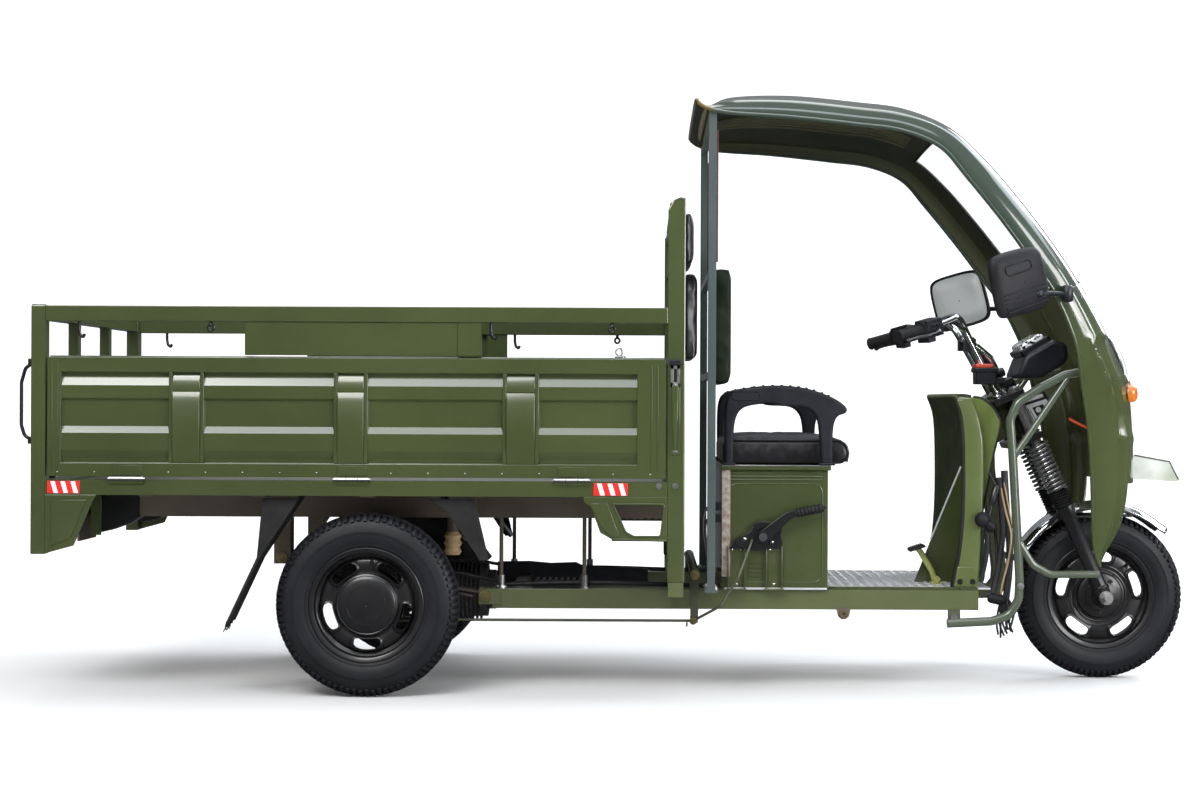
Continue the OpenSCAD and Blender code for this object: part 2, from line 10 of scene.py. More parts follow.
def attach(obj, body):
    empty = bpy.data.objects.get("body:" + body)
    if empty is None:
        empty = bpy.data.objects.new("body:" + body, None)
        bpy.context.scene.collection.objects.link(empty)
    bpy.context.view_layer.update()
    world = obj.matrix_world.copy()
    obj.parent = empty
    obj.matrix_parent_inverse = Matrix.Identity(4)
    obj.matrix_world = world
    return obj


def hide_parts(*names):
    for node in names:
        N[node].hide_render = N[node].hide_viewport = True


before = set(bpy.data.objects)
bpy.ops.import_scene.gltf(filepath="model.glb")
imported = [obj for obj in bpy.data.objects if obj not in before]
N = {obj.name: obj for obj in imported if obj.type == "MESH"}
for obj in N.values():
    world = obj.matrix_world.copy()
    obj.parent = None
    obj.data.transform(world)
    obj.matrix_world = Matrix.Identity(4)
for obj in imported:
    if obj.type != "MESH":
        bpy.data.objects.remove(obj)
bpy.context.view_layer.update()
SC = bpy.context.scene
RNG = random.Random(7)
pi, sin, cos = math.pi, math.sin, math.cos
V = Vector

# ------------------------------------------------------------------ materials
MATS = {}


def new_mat(name):
    m = bpy.data.materials.new(name)
    m.use_nodes = True
    nt = m.node_tree
    b = nt.nodes["Principled BSDF"]
    MATS[name] = m
    return m, nt, b


def node(nt, kind, **kw):
    n = nt.nodes.new(kind)
    for k, v in kw.items():
        setattr(n, k, v)
    return n


def noise(nt, vec, scale, detail=4.0, rough=0.55):
    n = node(nt, "ShaderNodeTexNoise")
    n.inputs["Scale"].default_value = scale
    n.inputs["Detail"].default_value = detail
    n.inputs["Roughness"].default_value = rough
    nt.links.new(vec, n.inputs["Vector"])
    return n.outputs["Fac"]


def ramp(nt, fac, stops):
    r = node(nt, "ShaderNodeValToRGB")
    els = r.color_ramp.elements
    while len(els) < len(stops):
        els.new(0.5)
    for e, (p, c) in zip(els, stops):
        e.position = p
        e.color = c if len(c) == 4 else (*c, 1)
    nt.links.new(fac, r.inputs["Fac"])
    return r.outputs["Color"]


def mix(nt, fac, a, b, kind="MIX"):
    m = node(nt, "ShaderNodeMix", data_type="RGBA", blend_type=kind)
    for sock, val in (("Factor", fac), ("A", a), ("B", b)):
        s = [i for i in m.inputs if i.name == sock and (i.type == "VALUE" if sock == "Factor" else i.type == "RGBA")][0]
        if hasattr(val, "is_output"):
            nt.links.new(val, s)
        elif sock == "Factor":
            s.default_value = val
        else:
            s.default_value = (*val, 1) if len(val) == 3 else val
    return [o for o in m.outputs if o.type == "RGBA"][0]


def math_node(nt, op, a, b=None):
    m = node(nt, "ShaderNodeMath", operation=op)
    for i, v in enumerate((a, b)):
        if v is None:
            continue
        if hasattr(v, "is_output"):
            nt.links.new(v, m.inputs[i])
        else:
            m.inputs[i].default_value = v
    return m.outputs[0]


def bump(nt, b, height, strength, dist=0.001, chain=None):
    n = node(nt, "ShaderNodeBump")
    n.inputs["Strength"].default_value = strength
    n.inputs["Distance"].default_value = dist
    nt.links.new(height, n.inputs["Height"])
    if chain:
        nt.links.new(chain, n.inputs["Normal"])
    nt.links.new(n.outputs["Normal"], b.inputs["Normal"])
    return n.outputs["Normal"]


def coords(nt):
    return node(nt, "ShaderNodeTexCoord").outputs["Object"]


def height(nt, vec):
    s = node(nt, "ShaderNodeSeparateXYZ")
    nt.links.new(vec, s.inputs[0])
    return s.outputs["Z"]


def paint(name, dark, light, rough=0.3, coat=0.5, dust=0.35, dust_col=(0.16, 0.13, 0.09), peel=0.06, dust_z=(0.2, 0.62)):
    """Sprayed enamel: tint varies slowly, fine orange peel, and road dust low down."""
    m, nt, b = new_mat(name)
    vec = coords(nt)
    col = ramp(nt, noise(nt, vec, 2.6, 5), [(0.3, dark), (0.72, light)])
    col = mix(nt, mix(nt, 0.1, (0, 0, 0), ramp(nt, noise(nt, vec, 60, 3), [(0.35, (0, 0, 0)), (0.75, (1, 1, 1))])), col, light)
    if dust:
        mr = node(nt, "ShaderNodeMapRange")
        mr.inputs["From Min"].default_value = dust_z[1]
        mr.inputs["From Max"].default_value = dust_z[0]
        nt.links.new(height(nt, vec), mr.inputs["Value"])
        spots = ramp(nt, noise(nt, vec, 14, 6, 0.65), [(0.38, (0, 0, 0)), (0.8, (1, 1, 1))])
        fac = math_node(nt, "MULTIPLY", math_node(nt, "MULTIPLY", mr.outputs[0], spots), dust)
        col = mix(nt, fac, col, dust_col)
        rr = math_node(nt, "ADD", math_node(nt, "MULTIPLY", fac, 0.5), rough)
    else:
        rr = math_node(nt, "ADD", math_node(nt, "MULTIPLY", noise(nt, vec, 9, 4), 0.08), rough - 0.04)
    nt.links.new(col, b.inputs["Base Color"])
    nt.links.new(rr, b.inputs["Roughness"])
    b.inputs["Coat Weight"].default_value = coat
    b.inputs["Coat Roughness"].default_value = 0.12
    bump(nt, b, noise(nt, vec, 520, 2), peel, 0.0006)
    return m


def solid(name, a, c, rough=0.5, metal=0.0, scale=40, bumps=0.08, bump_scale=300, coat=0.0, sheen=0.0, spread=0.12, spec=0.5):
    """Moulded or cast surface: two close tints by noise, uneven gloss and a fine grain."""
    m, nt, b = new_mat(name)
    vec = coords(nt)
    f = noise(nt, vec, scale, 5, 0.6)
    nt.links.new(ramp(nt, f, [(0.3, a), (0.75, c)]), b.inputs["Base Color"])
    b.inputs["Metallic"].default_value = metal
    b.inputs["Specular IOR Level"].default_value = spec
    nt.links.new(math_node(nt, "ADD", math_node(nt, "MULTIPLY", noise(nt, vec, scale * 0.4, 4), spread), rough - spread / 2), b.inputs["Roughness"])
    if coat:
        b.inputs["Coat Weight"].default_value = coat
        b.inputs["Coat Roughness"].default_value = 0.08
    if sheen:
        b.inputs["Sheen Weight"].default_value = sheen
    if bumps:
        bump(nt, b, noise(nt, vec, bump_scale, 3), bumps, 0.0008)
    return m


OL_D, OL_L = (0.036, 0.049, 0.012), (0.053, 0.069, 0.020)
M_OLIVE = paint("olive_enamel", OL_D, OL_L, 0.30, 0.9, dust=0.3)
M_RAIL = paint("rail_olive", (0.062, 0.078, 0.026), (0.090, 0.108, 0.042), 0.32, 0.6, dust=0.2)
M_OLIVE_GLOSS = paint("olive_gloss", (0.042, 0.054, 0.016), (0.062, 0.078, 0.027), 0.20, 1.0, dust=0.12, peel=0.03)
M_OLIVE_DEEP = paint("olive_deep", (0.026, 0.031, 0.009), (0.042, 0.048, 0.014), 0.4, 0.3, dust=0.3)
M_LINK = paint("olive_linkage", (0.024, 0.028, 0.012), (0.048, 0.053, 0.025), 0.4, 0.3, dust=0.3)
M_UNDER = paint("under_primer", (0.060, 0.046, 0.030), (0.092, 0.072, 0.049), 0.6, 0.0, dust=0.4, dust_col=(0.16, 0.135, 0.10), dust_z=(0.2, 0.75))
M_BLACK = paint("black_enamel", (0.006, 0.006, 0.007), (0.013, 0.013, 0.014), 0.3, 0.3, dust=0.14, dust_col=(0.07, 0.065, 0.055))
M_RIM = paint("rim_black", (0.005, 0.005, 0.006), (0.011, 0.011, 0.012), 0.36, 0.3, dust=0.10, dust_col=(0.06, 0.055, 0.05))
M_RUBBER = solid("flap_rubber", (0.008, 0.008, 0.009), (0.019, 0.0185, 0.019), 0.62, scale=18, bumps=0.25, bump_scale=160, spec=0.3)
M_PLASTIC = solid("black_plastic", (0.007, 0.008, 0.011), (0.015, 0.016, 0.021), 0.40, scale=24, bumps=0.2, bump_scale=700, spec=0.4)
M_GREYPL = solid("smoke_plastic", (0.009, 0.0088, 0.0108), (0.017, 0.0166, 0.0198), 0.50, scale=18, bumps=0.2, bump_scale=600, spec=0.2)
M_CHROME = solid("chrome", (0.70, 0.71, 0.73), (0.86, 0.87, 0.88), 0.12, metal=1.0, scale=30, bumps=0.02, spread=0.1)
M_COIL = solid("coil_steel", (0.34, 0.34, 0.345), (0.56, 0.56, 0.57), 0.22, metal=0.85, scale=30, bumps=0.05, spread=0.1)
M_STEEL = solid("zinc_steel", (0.50, 0.50, 0.49), (0.70, 0.70, 0.68), 0.34, metal=1.0, scale=60, bumps=0.1, spread=0.2)
M_BRASS = solid("yellow_zinc", (0.36, 0.30, 0.14), (0.55, 0.47, 0.24), 0.38, metal=1.0, scale=80, bumps=0.1)
M_CAST = solid("cast_metal", (0.040, 0.040, 0.043), (0.085, 0.083, 0.080), 0.6, metal=0.5, scale=30, bumps=0.5, bump_scale=240)
M_ALU = solid("bright_plate", (0.50, 0.51, 0.52), (0.68, 0.69, 0.70), 0.34, metal=0.35, scale=22, bumps=0.1, spread=0.22)
M_WIRE = solid("wire_black", (0.008, 0.008, 0.009), (0.02, 0.02, 0.022), 0.5, scale=60, bumps=0.05)
M_WIRE_RED = solid("wire_orange", (0.62, 0.055, 0.012), (0.8, 0.10, 0.02), 0.4, scale=60, bumps=0.05)
M_RED = solid("red_cap", (0.50, 0.05, 0.03), (0.66, 0.09, 0.05), 0.35, scale=40, bumps=0.05, coat=0.3)
M_PEDAL = paint("pedal_enamel", (0.26, 0.28, 0.06), (0.40, 0.42, 0.14), 0.35, 0.3, dust=0.4)
M_TAN = solid("tan_buffer", (0.28, 0.19, 0.085), (0.42, 0.31, 0.17), 0.55, scale=16, bumps=0.2)
M_ARM = solid("arm_moulding", (0.009, 0.0095, 0.013), (0.018, 0.019, 0.025), 0.50, scale=18, bumps=0.3, bump_scale=520, spec=0.22)
M_SILVER = solid("silver_paint", (0.40, 0.40, 0.41), (0.60, 0.60, 0.61), 0.34, metal=0.2, scale=40, bumps=0.1)
M_STRIP = solid("pale_conduit", (0.16, 0.10, 0.07), (0.46, 0.42, 0.37), 0.6, scale=60, bumps=0.25)
# red of the strip on the cab posts: a painted reflection
M_POST_RED_REFLECTION = solid("red_conduit", (0.09, 0.022, 0.014), (0.15, 0.045, 0.03), 0.5, scale=30, bumps=0.15)
M_WHITE = solid("reflector_white", (0.72, 0.72, 0.72), (0.86, 0.86, 0.86), 0.35, scale=90, bumps=0.25, bump_scale=900)
M_REDREF = solid("reflector_red", (0.58, 0.012, 0.010), (0.74, 0.022, 0.016), 0.3, scale=90, bumps=0.25, bump_scale=900, coat=0.4)
M_AMBER = solid("amber_lens", (0.44, 0.10, 0.008), (0.62, 0.18, 0.02), 0.16, scale=60, bumps=0.35, bump_scale=260, coat=0.8)
M_REDLENS = solid("red_lens", (0.36, 0.008, 0.008), (0.52, 0.016, 0.014), 0.16, scale=60, bumps=0.35, bump_scale=260, coat=0.8)
M_MIRROR = solid("mirror_glass", (0.80, 0.81, 0.82), (0.90, 0.91, 0.91), 0.26, metal=0.35, scale=4, bumps=0.0, spread=0.03)
M_FACE = solid("back_olive_pad", (0.008, 0.013, 0.008), (0.017, 0.024, 0.012), 0.55, spec=0.2, scale=12, bumps=0.2, bump_scale=500)


def tyre_mat():
    m, nt, b = new_mat("tyre_rubber")
    vec = coords(nt)
    # the slight blue in the rubber's colour is a painted sheen
    col = ramp(nt, noise(nt, vec, 9, 6, 0.7), [(0.25, (0.0066, 0.0070, 0.0088)), (0.8, (0.0165, 0.0168, 0.0203))])
    nt.links.new(col, b.inputs["Base Color"])
    nt.links.new(math_node(nt, "ADD", math_node(nt, "MULTIPLY", noise(nt, vec, 22, 4), 0.16), 0.44), b.inputs["Roughness"])
    b.inputs["Specular IOR Level"].default_value = 0.30
    bump(nt, b, noise(nt, vec, 420, 3), 0.18, 0.0006)
    return m


def vinyl_mat(name, a, c, rough=0.38):
    m, nt, b = new_mat(name)
    vec = coords(nt)
    vor = node(nt, "ShaderNodeTexVoronoi", feature="DISTANCE_TO_EDGE")
    vor.inputs["Scale"].default_value = 420
    nt.links.new(vec, vor.inputs["Vector"])
    nt.links.new(ramp(nt, noise(nt, vec, 14, 5), [(0.3, a), (0.75, c)]), b.inputs["Base Color"])
    nt.links.new(math_node(nt, "ADD", math_node(nt, "MULTIPLY", noise(nt, vec, 30, 4), 0.16), rough - 0.08), b.inputs["Roughness"])
    b.inputs["Coat Weight"].default_value = 0.12
    h = math_node(nt, "MINIMUM", vor.outputs["Distance"], 0.12)
    bump(nt, b, h, 0.22, 0.0012)
    return m


def clear_mat(name, tint=(0.93, 0.97, 0.96), rough=0.06, alpha=0.16):
    """Clear sheet: thin, slightly scuffed."""
    m, nt, b = new_mat(name)
    vec = coords(nt)
    nt.links.new(ramp(nt, noise(nt, vec, 6, 5), [(0.3, tint), (0.8, (0.98, 0.99, 0.99))]), b.inputs["Base Color"])
    nt.links.new(math_node(nt, "ADD", math_node(nt, "MULTIPLY", noise(nt, vec, 40, 4), 0.05), rough), b.inputs["Roughness"])
    b.inputs["Alpha"].default_value = alpha
    b.inputs["Coat Weight"].default_value = 0.6
    bump(nt, b, noise(nt, vec, 120, 2), 0.02, 0.0004)
    return m


def display_mat():
    """Gauge window: dark with bright flecks of reflected light in the moulded lens."""
    m, nt, b = new_mat("gauge_window")
    vec = coords(nt)
    vor = node(nt, "ShaderNodeTexVoronoi")
    vor.inputs["Scale"].default_value = 150
    nt.links.new(vec, vor.inputs["Vector"])
    sep = node(nt, "ShaderNodeSeparateColor")
    nt.links.new(vor.outputs["Color"], sep.inputs[0])
    nt.links.new(ramp(nt, sep.outputs[0], [(0.30, (0.02, 0.02, 0.024)), (0.36, (0.84, 0.86, 0.88))]), b.inputs["Base Color"])
    nt.links.new(math_node(nt, "ADD", math_node(nt, "MULTIPLY", sep.outputs[1], 0.2), 0.1), b.inputs["Roughness"])
    b.inputs["Coat Weight"].default_value = 0.8
    bump(nt, b, sep.outputs[0], 0.3, 0.001)
    return m


M_TYRE = tyre_mat()
M_VINYL = vinyl_mat("black_vinyl", (0.007, 0.0068, 0.0085), (0.016, 0.0155, 0.019), 0.34)
M_CLEAR = clear_mat("clear_sheet")
M_LENS = clear_mat("clear_lens", (0.88, 0.92, 0.93), 0.08, 0.32)
M_COVER = clear_mat("lamp_cover", (0.70, 0.76, 0.78), 0.10, 0.70)
M_NOSE = clear_mat("milky_plastic", (0.42, 0.47, 0.38), 0.2, 0.72)
M_GAUGE = display_mat()


# ------------------------------------------------------------------ mesh building
class Build:
    """Collects simple solids in one mesh, so many small like things become one piece."""

    def __init__(self):
        self.bm = bmesh.new()

    def _add(self, verts, faces):
        vs = [self.bm.verts.new(v) for v in verts]
        for f in faces:
            try:
                self.bm.faces.new([vs[i] for i in f])
            except ValueError:
                pass
        return vs

    def box(self, x0, x1, y0, y1, z0, z1, M=None):
        vs = [V((x, y, z)) for x in (x0, x1) for y in (y0, y1) for z in (z0, z1)]
        if M is not None:
            vs = [M @ v for v in vs]
        self._add(vs, [(0, 1, 3, 2), (4, 6, 7, 5), (0, 4, 5, 1), (2, 3, 7, 6), (0, 2, 6, 4), (1, 5, 7, 3)])
        return self

    def prism(self, pts, y0, y1, M=None, axis="y"):
        """Polygon in XZ (axis y) or YZ (axis x) or XY (axis z), from y0 to y1."""
        def at(p, d):
            v = V((p[0], d, p[1])) if axis == "y" else V((d, p[0], p[1])) if axis == "x" else V((p[0], p[1], d))
            return M @ v if M is not None else v
        n = len(pts)
        self._add([at(p, y0) for p in pts] + [at(p, y1) for p in pts],
                  [tuple(range(n)), tuple(range(2 * n - 1, n - 1, -1))] + [(i, (i + 1) % n, n + (i + 1) % n, n + i) for i in range(n)])
        return self

    def sweep(self, path, radius, n=12, caps=True, closed=False):
        """Round tube along points; radius may be a list, one per point."""
        path = [V(p) for p in path]
        m = len(path)
        rad = radius if hasattr(radius, "__len__") else [radius] * m
        up = None
        rings = []
        for i, p in enumerate(path):
            a = path[(i - 1) % m] if closed or i else path[0]
            b = path[(i + 1) % m] if closed or i < m - 1 else path[-1]
            t = (b - a).normalized()
            if up is None:
                up = V((0, 0, 1)) if abs(t.z) < 0.9 else V((1, 0, 0))
            side = t.cross(up).normalized()
            up = side.cross(t).normalized()
            rings.append([p + rad[i] * (cos(2 * pi * k / n) * side + sin(2 * pi * k / n) * up) for k in range(n)])
        verts = [v for r in rings for v in r]
        faces = []
        for i in range(m if closed else m - 1):
            j = (i + 1) % m
            faces += [(i * n + k, i * n + (k + 1) % n, j * n + (k + 1) % n, j * n + k) for k in range(n)]
        if caps and not closed:
            faces += [tuple(range(n - 1, -1, -1)), tuple((m - 1) * n + k for k in range(n))]
        self._add(verts, faces)
        return self

    def cyl(self, a, b, r, n=16, r2=None):
        return self.sweep([a, b], [r, r if r2 is None else r2], n)

    def bolt(self, p, d, r=0.008, h=0.006, washer=True):
        """Hex head with its washer, standing on p along d."""
        p, d = V(p), V(d).normalized()
        if washer:
            self.cyl(p, p + d * h * 0.3, r * 1.55, 16)
        self.cyl(p + d * h * 0.25, p + d * h, r, 6)
        self.cyl(p + d * h * 0.9, p + d * h * 1.25, r * 0.5, 10)
        return self

    def ball(self, c, r, n=14, m=8, scale=(1, 1, 1), M=None):
        c = V(c)
        verts = [V((0, 0, r))]
        for i in range(1, m):
            f = pi * i / m
            verts += [V((r * sin(f) * cos(2 * pi * k / n), r * sin(f) * sin(2 * pi * k / n), r * cos(f))) for k in range(n)]
        verts.append(V((0, 0, -r)))
        verts = [V((v.x * scale[0], v.y * scale[1], v.z * scale[2])) for v in verts]
        if M is not None:
            verts = [M @ v for v in verts]
        faces = [(0, 1 + k, 1 + (k + 1) % n) for k in range(n)]
        for i in range(m - 2):
            a, b = 1 + i * n, 1 + (i + 1) * n
            faces += [(a + k, b + k, b + (k + 1) % n, a + (k + 1) % n) for k in range(n)]
        last = len(verts) - 1
        a = 1 + (m - 2) * n
        faces += [(last, a + (k + 1) % n, a + k) for k in range(n)]
        self._add([v + c for v in verts], faces)
        return self

    def grid(self, pts, close_u=False, close_v=False):
        """Quads over a rows-by-columns table of points."""
        r, c = len(pts), len(pts[0])
        faces = []
        for i in range(r if close_u else r - 1):
            for j in range(c if close_v else c - 1):
                a, b = i, (i + 1) % r
                faces.append((a * c + j, a * c + (j + 1) % c, b * c + (j + 1) % c, b * c + j))
        self._add([V(p) for row in pts for p in row], faces)
        return self

    def lathe(self, prof, c, axis="y", n=64, closed=True):
        """Closed profile of (radius, offset) turned about an axis through c."""
        rows = []
        for k in range(n):
            a = 2 * pi * k / n
            row = []
            for r, o in prof:
                u, w = r * cos(a), r * sin(a)
                row.append(V(c) + (V((u, o, w)) if axis == "y" else V((o, u, w)) if axis == "x" else V((u, w, o))))
            rows.append(row)
        return self.grid(rows, close_u=True, close_v=closed)

    def done(self, name, mat, body, smooth=40, bevel=0.0, seg=2, subsurf=0, replaces=(), slot=None, weld=0.0):
        bm = self.bm
        if weld:
            bmesh.ops.remove_doubles(bm, verts=bm.verts, dist=weld)
        bmesh.ops.recalc_face_normals(bm, faces=bm.faces)
        me = bpy.data.meshes.new(name)
        bm.to_mesh(me)
        bm.free()
        return finish_obj(name, me, mat, body, smooth, bevel, seg, subsurf, replaces, slot)


# which finish of the record each material stands for
SLOT_OF = {"olive": "olive_paint", "roof": "olive_paint", "post": "olive_paint", "tube": "olive_paint", "black_enamel": "black_steel", "rim": "black_steel",
           "spring": "black_steel", "flap": "black_rubber", "wire": "black_rubber", "tyre": "tyre_rubber", "black_vinyl": "black_vinyl", "back_olive": "black_vinyl",
           "black_plastic": "black_plastic", "smoke": "black_plastic", "gauge": "black_plastic", "chrome": "bright_steel", "zinc_steel": "bright_steel", "mirror": "bright_steel",
           "yellow_zinc": "zinc_steel", "cast": "motor_alloy", "bright_plate": "checker_plate", "pedal": "pedal_paint", "under": "under_paint", "tan": "under_paint",
           "clear": "clear_plastic", "milky": "white_plastic", "reflector_white": "white_plastic", "amber": "amber_lens", "red": "red_lens", "reflector_red": "red_lens",
           "pale": "white_plastic", "red_conduit": "black_rubber"}


def finish_obj(name, me, mat, body, smooth=40, bevel=0.0, seg=2, subsurf=0, replaces=(), slot=None):
    first = mat[0] if isinstance(mat, (list, tuple)) else mat
    if slot is None:
        hits = [k for k in SLOT_OF if first.name.startswith(k)]
        slot = SLOT_OF[max(hits, key=len)] if hits else None
    o = bpy.data.objects.new(name, me)
    SC.collection.objects.link(o)
    for mm in (mat if isinstance(mat, (list, tuple)) else [mat]):
        me.materials.append(mm)
    if smooth:
        me.shade_smooth()
        me.set_sharp_from_angle(angle=math.radians(smooth))
    if bevel:
        b = o.modifiers.new("bevel", "BEVEL")
        b.width, b.segments, b.limit_method, b.angle_limit = bevel, seg, "ANGLE", math.radians(35)
        b.harden_normals = False
        me.shade_smooth()
    if subsurf:
        s = o.modifiers.new("sub", "SUBSURF")
        s.levels = s.render_levels = subsurf
    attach(o, body)
    if replaces:
        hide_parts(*replaces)
    return o


def fillet(pts, rad, seg=6):
    """Path with its inner corners rounded to radius rad."""
    pts = [V(p) for p in pts]
    out = [pts[0]]
    for a, b, c in zip(pts, pts[1:], pts[2:]):
        u, w = (a - b), (c - b)
        ang = u.angle(w)
        if ang > pi - 0.02:
            out.append(b)
            continue
        d = min(rad / math.tan(ang / 2), 0.49 * u.length, 0.49 * w.length)
        p, q = b + u.normalized() * d, b + w.normalized() * d
        for k in range(seg + 1):
            t = k / seg
            out.append((1 - t) ** 2 * p + 2 * t * (1 - t) * b + t * t * q)
    out.append(pts[-1])
    return out


def spline(pts, n=8):
    """Smooth curve through the points."""
    pts = [V(p) for p in pts]
    out = []
    for i in range(len(pts) - 1):
        p0, p1, p2, p3 = pts[max(i - 1, 0)], pts[i], pts[i + 1], pts[min(i + 2, len(pts) - 1)]
        for k in range(n):
            t = k / n
            out.append(0.5 * ((2 * p1) + (p2 - p0) * t + (2 * p0 - 5 * p1 + 4 * p2 - p3) * t * t + (3 * p1 - p0 - 3 * p2 + p3) * t ** 3))
    out.append(pts[-1])
    return out


def mirror_y(pts):
    return [(p[0], -p[1], p[2]) for p in pts]


def dress(names, mat, bevel=0.0025, seg=2):
    """Finish a CAD node in place: weld its facets, break the edges and give it a material."""
    for n in names.split():
        o = N[n]
        o.data.materials.clear()
        o.data.materials.append(mat)
        if bevel:
            w = o.modifiers.new("weld", "WELD")
            w.merge_threshold = 0.00005
            b = o.modifiers.new("bevel", "BEVEL")
            b.width, b.segments, b.limit_method, b.angle_limit = bevel, seg, "ANGLE", math.radians(35)


# ------------------------------------------------------------------ wheels
RIM_R = 0.152


def tyre_piece(name, c, r, w, body, old, blocks, seed):
    """Carcass with moulded sidewall rings, two centre ribs and shoulder blocks."""
    h = w / 2
    half = [(RIM_R + 0.001, h - 0.017), (RIM_R + 0.007, h - 0.013), (RIM_R + 0.016, h - 0.0085), (RIM_R + 0.0165, h - 0.006),
            (RIM_R + 0.020, h - 0.0052), (RIM_R + 0.021, h - 0.0065), (RIM_R + 0.030, h - 0.0025), (RIM_R + 0.042, h - 0.0004),
            (RIM_R + 0.052, h - 0.0002), (RIM_R + 0.0528, h + 0.0014), (RIM_R + 0.056, h + 0.0013), (RIM_R + 0.0568, h - 0.0008),
            (r - 0.036, h - 0.0035), (r - 0.024, h - 0.0085), (r - 0.014, h - 0.016), (r - 0.0095, h - 0.024), (r - 0.0072, 0.012)]
    prof = [(a, -b) for a, b in half] + [(a, b) for a, b in reversed(half)]
    b = Build()
    b.lathe(prof, c, n=128)
    # centre ribs, zigzag edged
    n = blocks * 4
    for sgn in (-1, 1):
        rows = []
        for k in range(n):
            a = 2 * pi * k / n
            z = 0.0026 * (1 if (k // 4) % 2 else -1)
            row = []
            for rr, o in ((r - 0.009, 0.003), (r - 0.0004, 0.0036), (r - 0.0006, 0.0125), (r - 0.0098, 0.0135)):
                o = sgn * (o + 0.0012) + z
                row.append((c[0] + rr * cos(a), c[1] + o, c[2] + rr * sin(a)))
            rows.append(row)
        b.grid(rows, close_u=True, close_v=True)
    # shoulder blocks, alternately long and short
    for sgn in (-1, 1):
        for k in range(blocks):
            a0 = 2 * pi * (k + (0.5 if sgn > 0 else 0)) / blocks
            wd = 2 * pi / blocks * 0.60
            top = [(r - 0.0012, 0.0185), (r - 0.0026, 0.027), (r - 0.0062, h - 0.0165), (r - 0.0118, h - 0.0085), (r - (0.0205 if k % 2 else 0.0175), h - 0.0040)]
            low = [(p[0] - (0.0085 if i < len(top) - 1 else 0.004), p[1] - (0.001 if i < 2 else 0.006)) for i, p in enumerate(top)]
            poly = top + low[::-1]
            rows = []
            for f, skew in ((0.0, 0.0), (1.0, 0.0)):
                row = []
                for i, (rr, o) in enumerate(poly):
                    j = i if i < len(top) else 2 * len(top) - 1 - i
                    pinch = (0.08 if i < len(top) else 0.0)
                    a = a0 + wd * (pinch + f * (1 - 2 * pinch)) + (0.22 * wd) * sgn * (j / len(top))
                    row.append((c[0] + rr * cos(a), c[1] + sgn * o, c[2] + rr * sin(a)))
                rows.append(row)
            m = len(poly)
            b._add([V(p) for row in rows for p in row],
                   [tuple(range(m)), tuple(range(2 * m - 1, m - 1, -1))] + [(i, (i + 1) % m, m + (i + 1) % m, m + i) for i in range(m)])
    # vent spews moulded low on the wall
    for sgn in (-1, 1):
        for k in range(24):
            a = 2 * pi * (k + 0.3) / 24
            rr = RIM_R + 0.066
            p = V((c[0] + rr * cos(a), c[1] + sgn * (h - 0.004), c[2] + rr * sin(a)))
            b.cyl(p, p + V((0, sgn * 0.0028, 0)), 0.0011, 5)
    return b.done(name, M_TYRE, body, smooth=38, replaces=(old,))


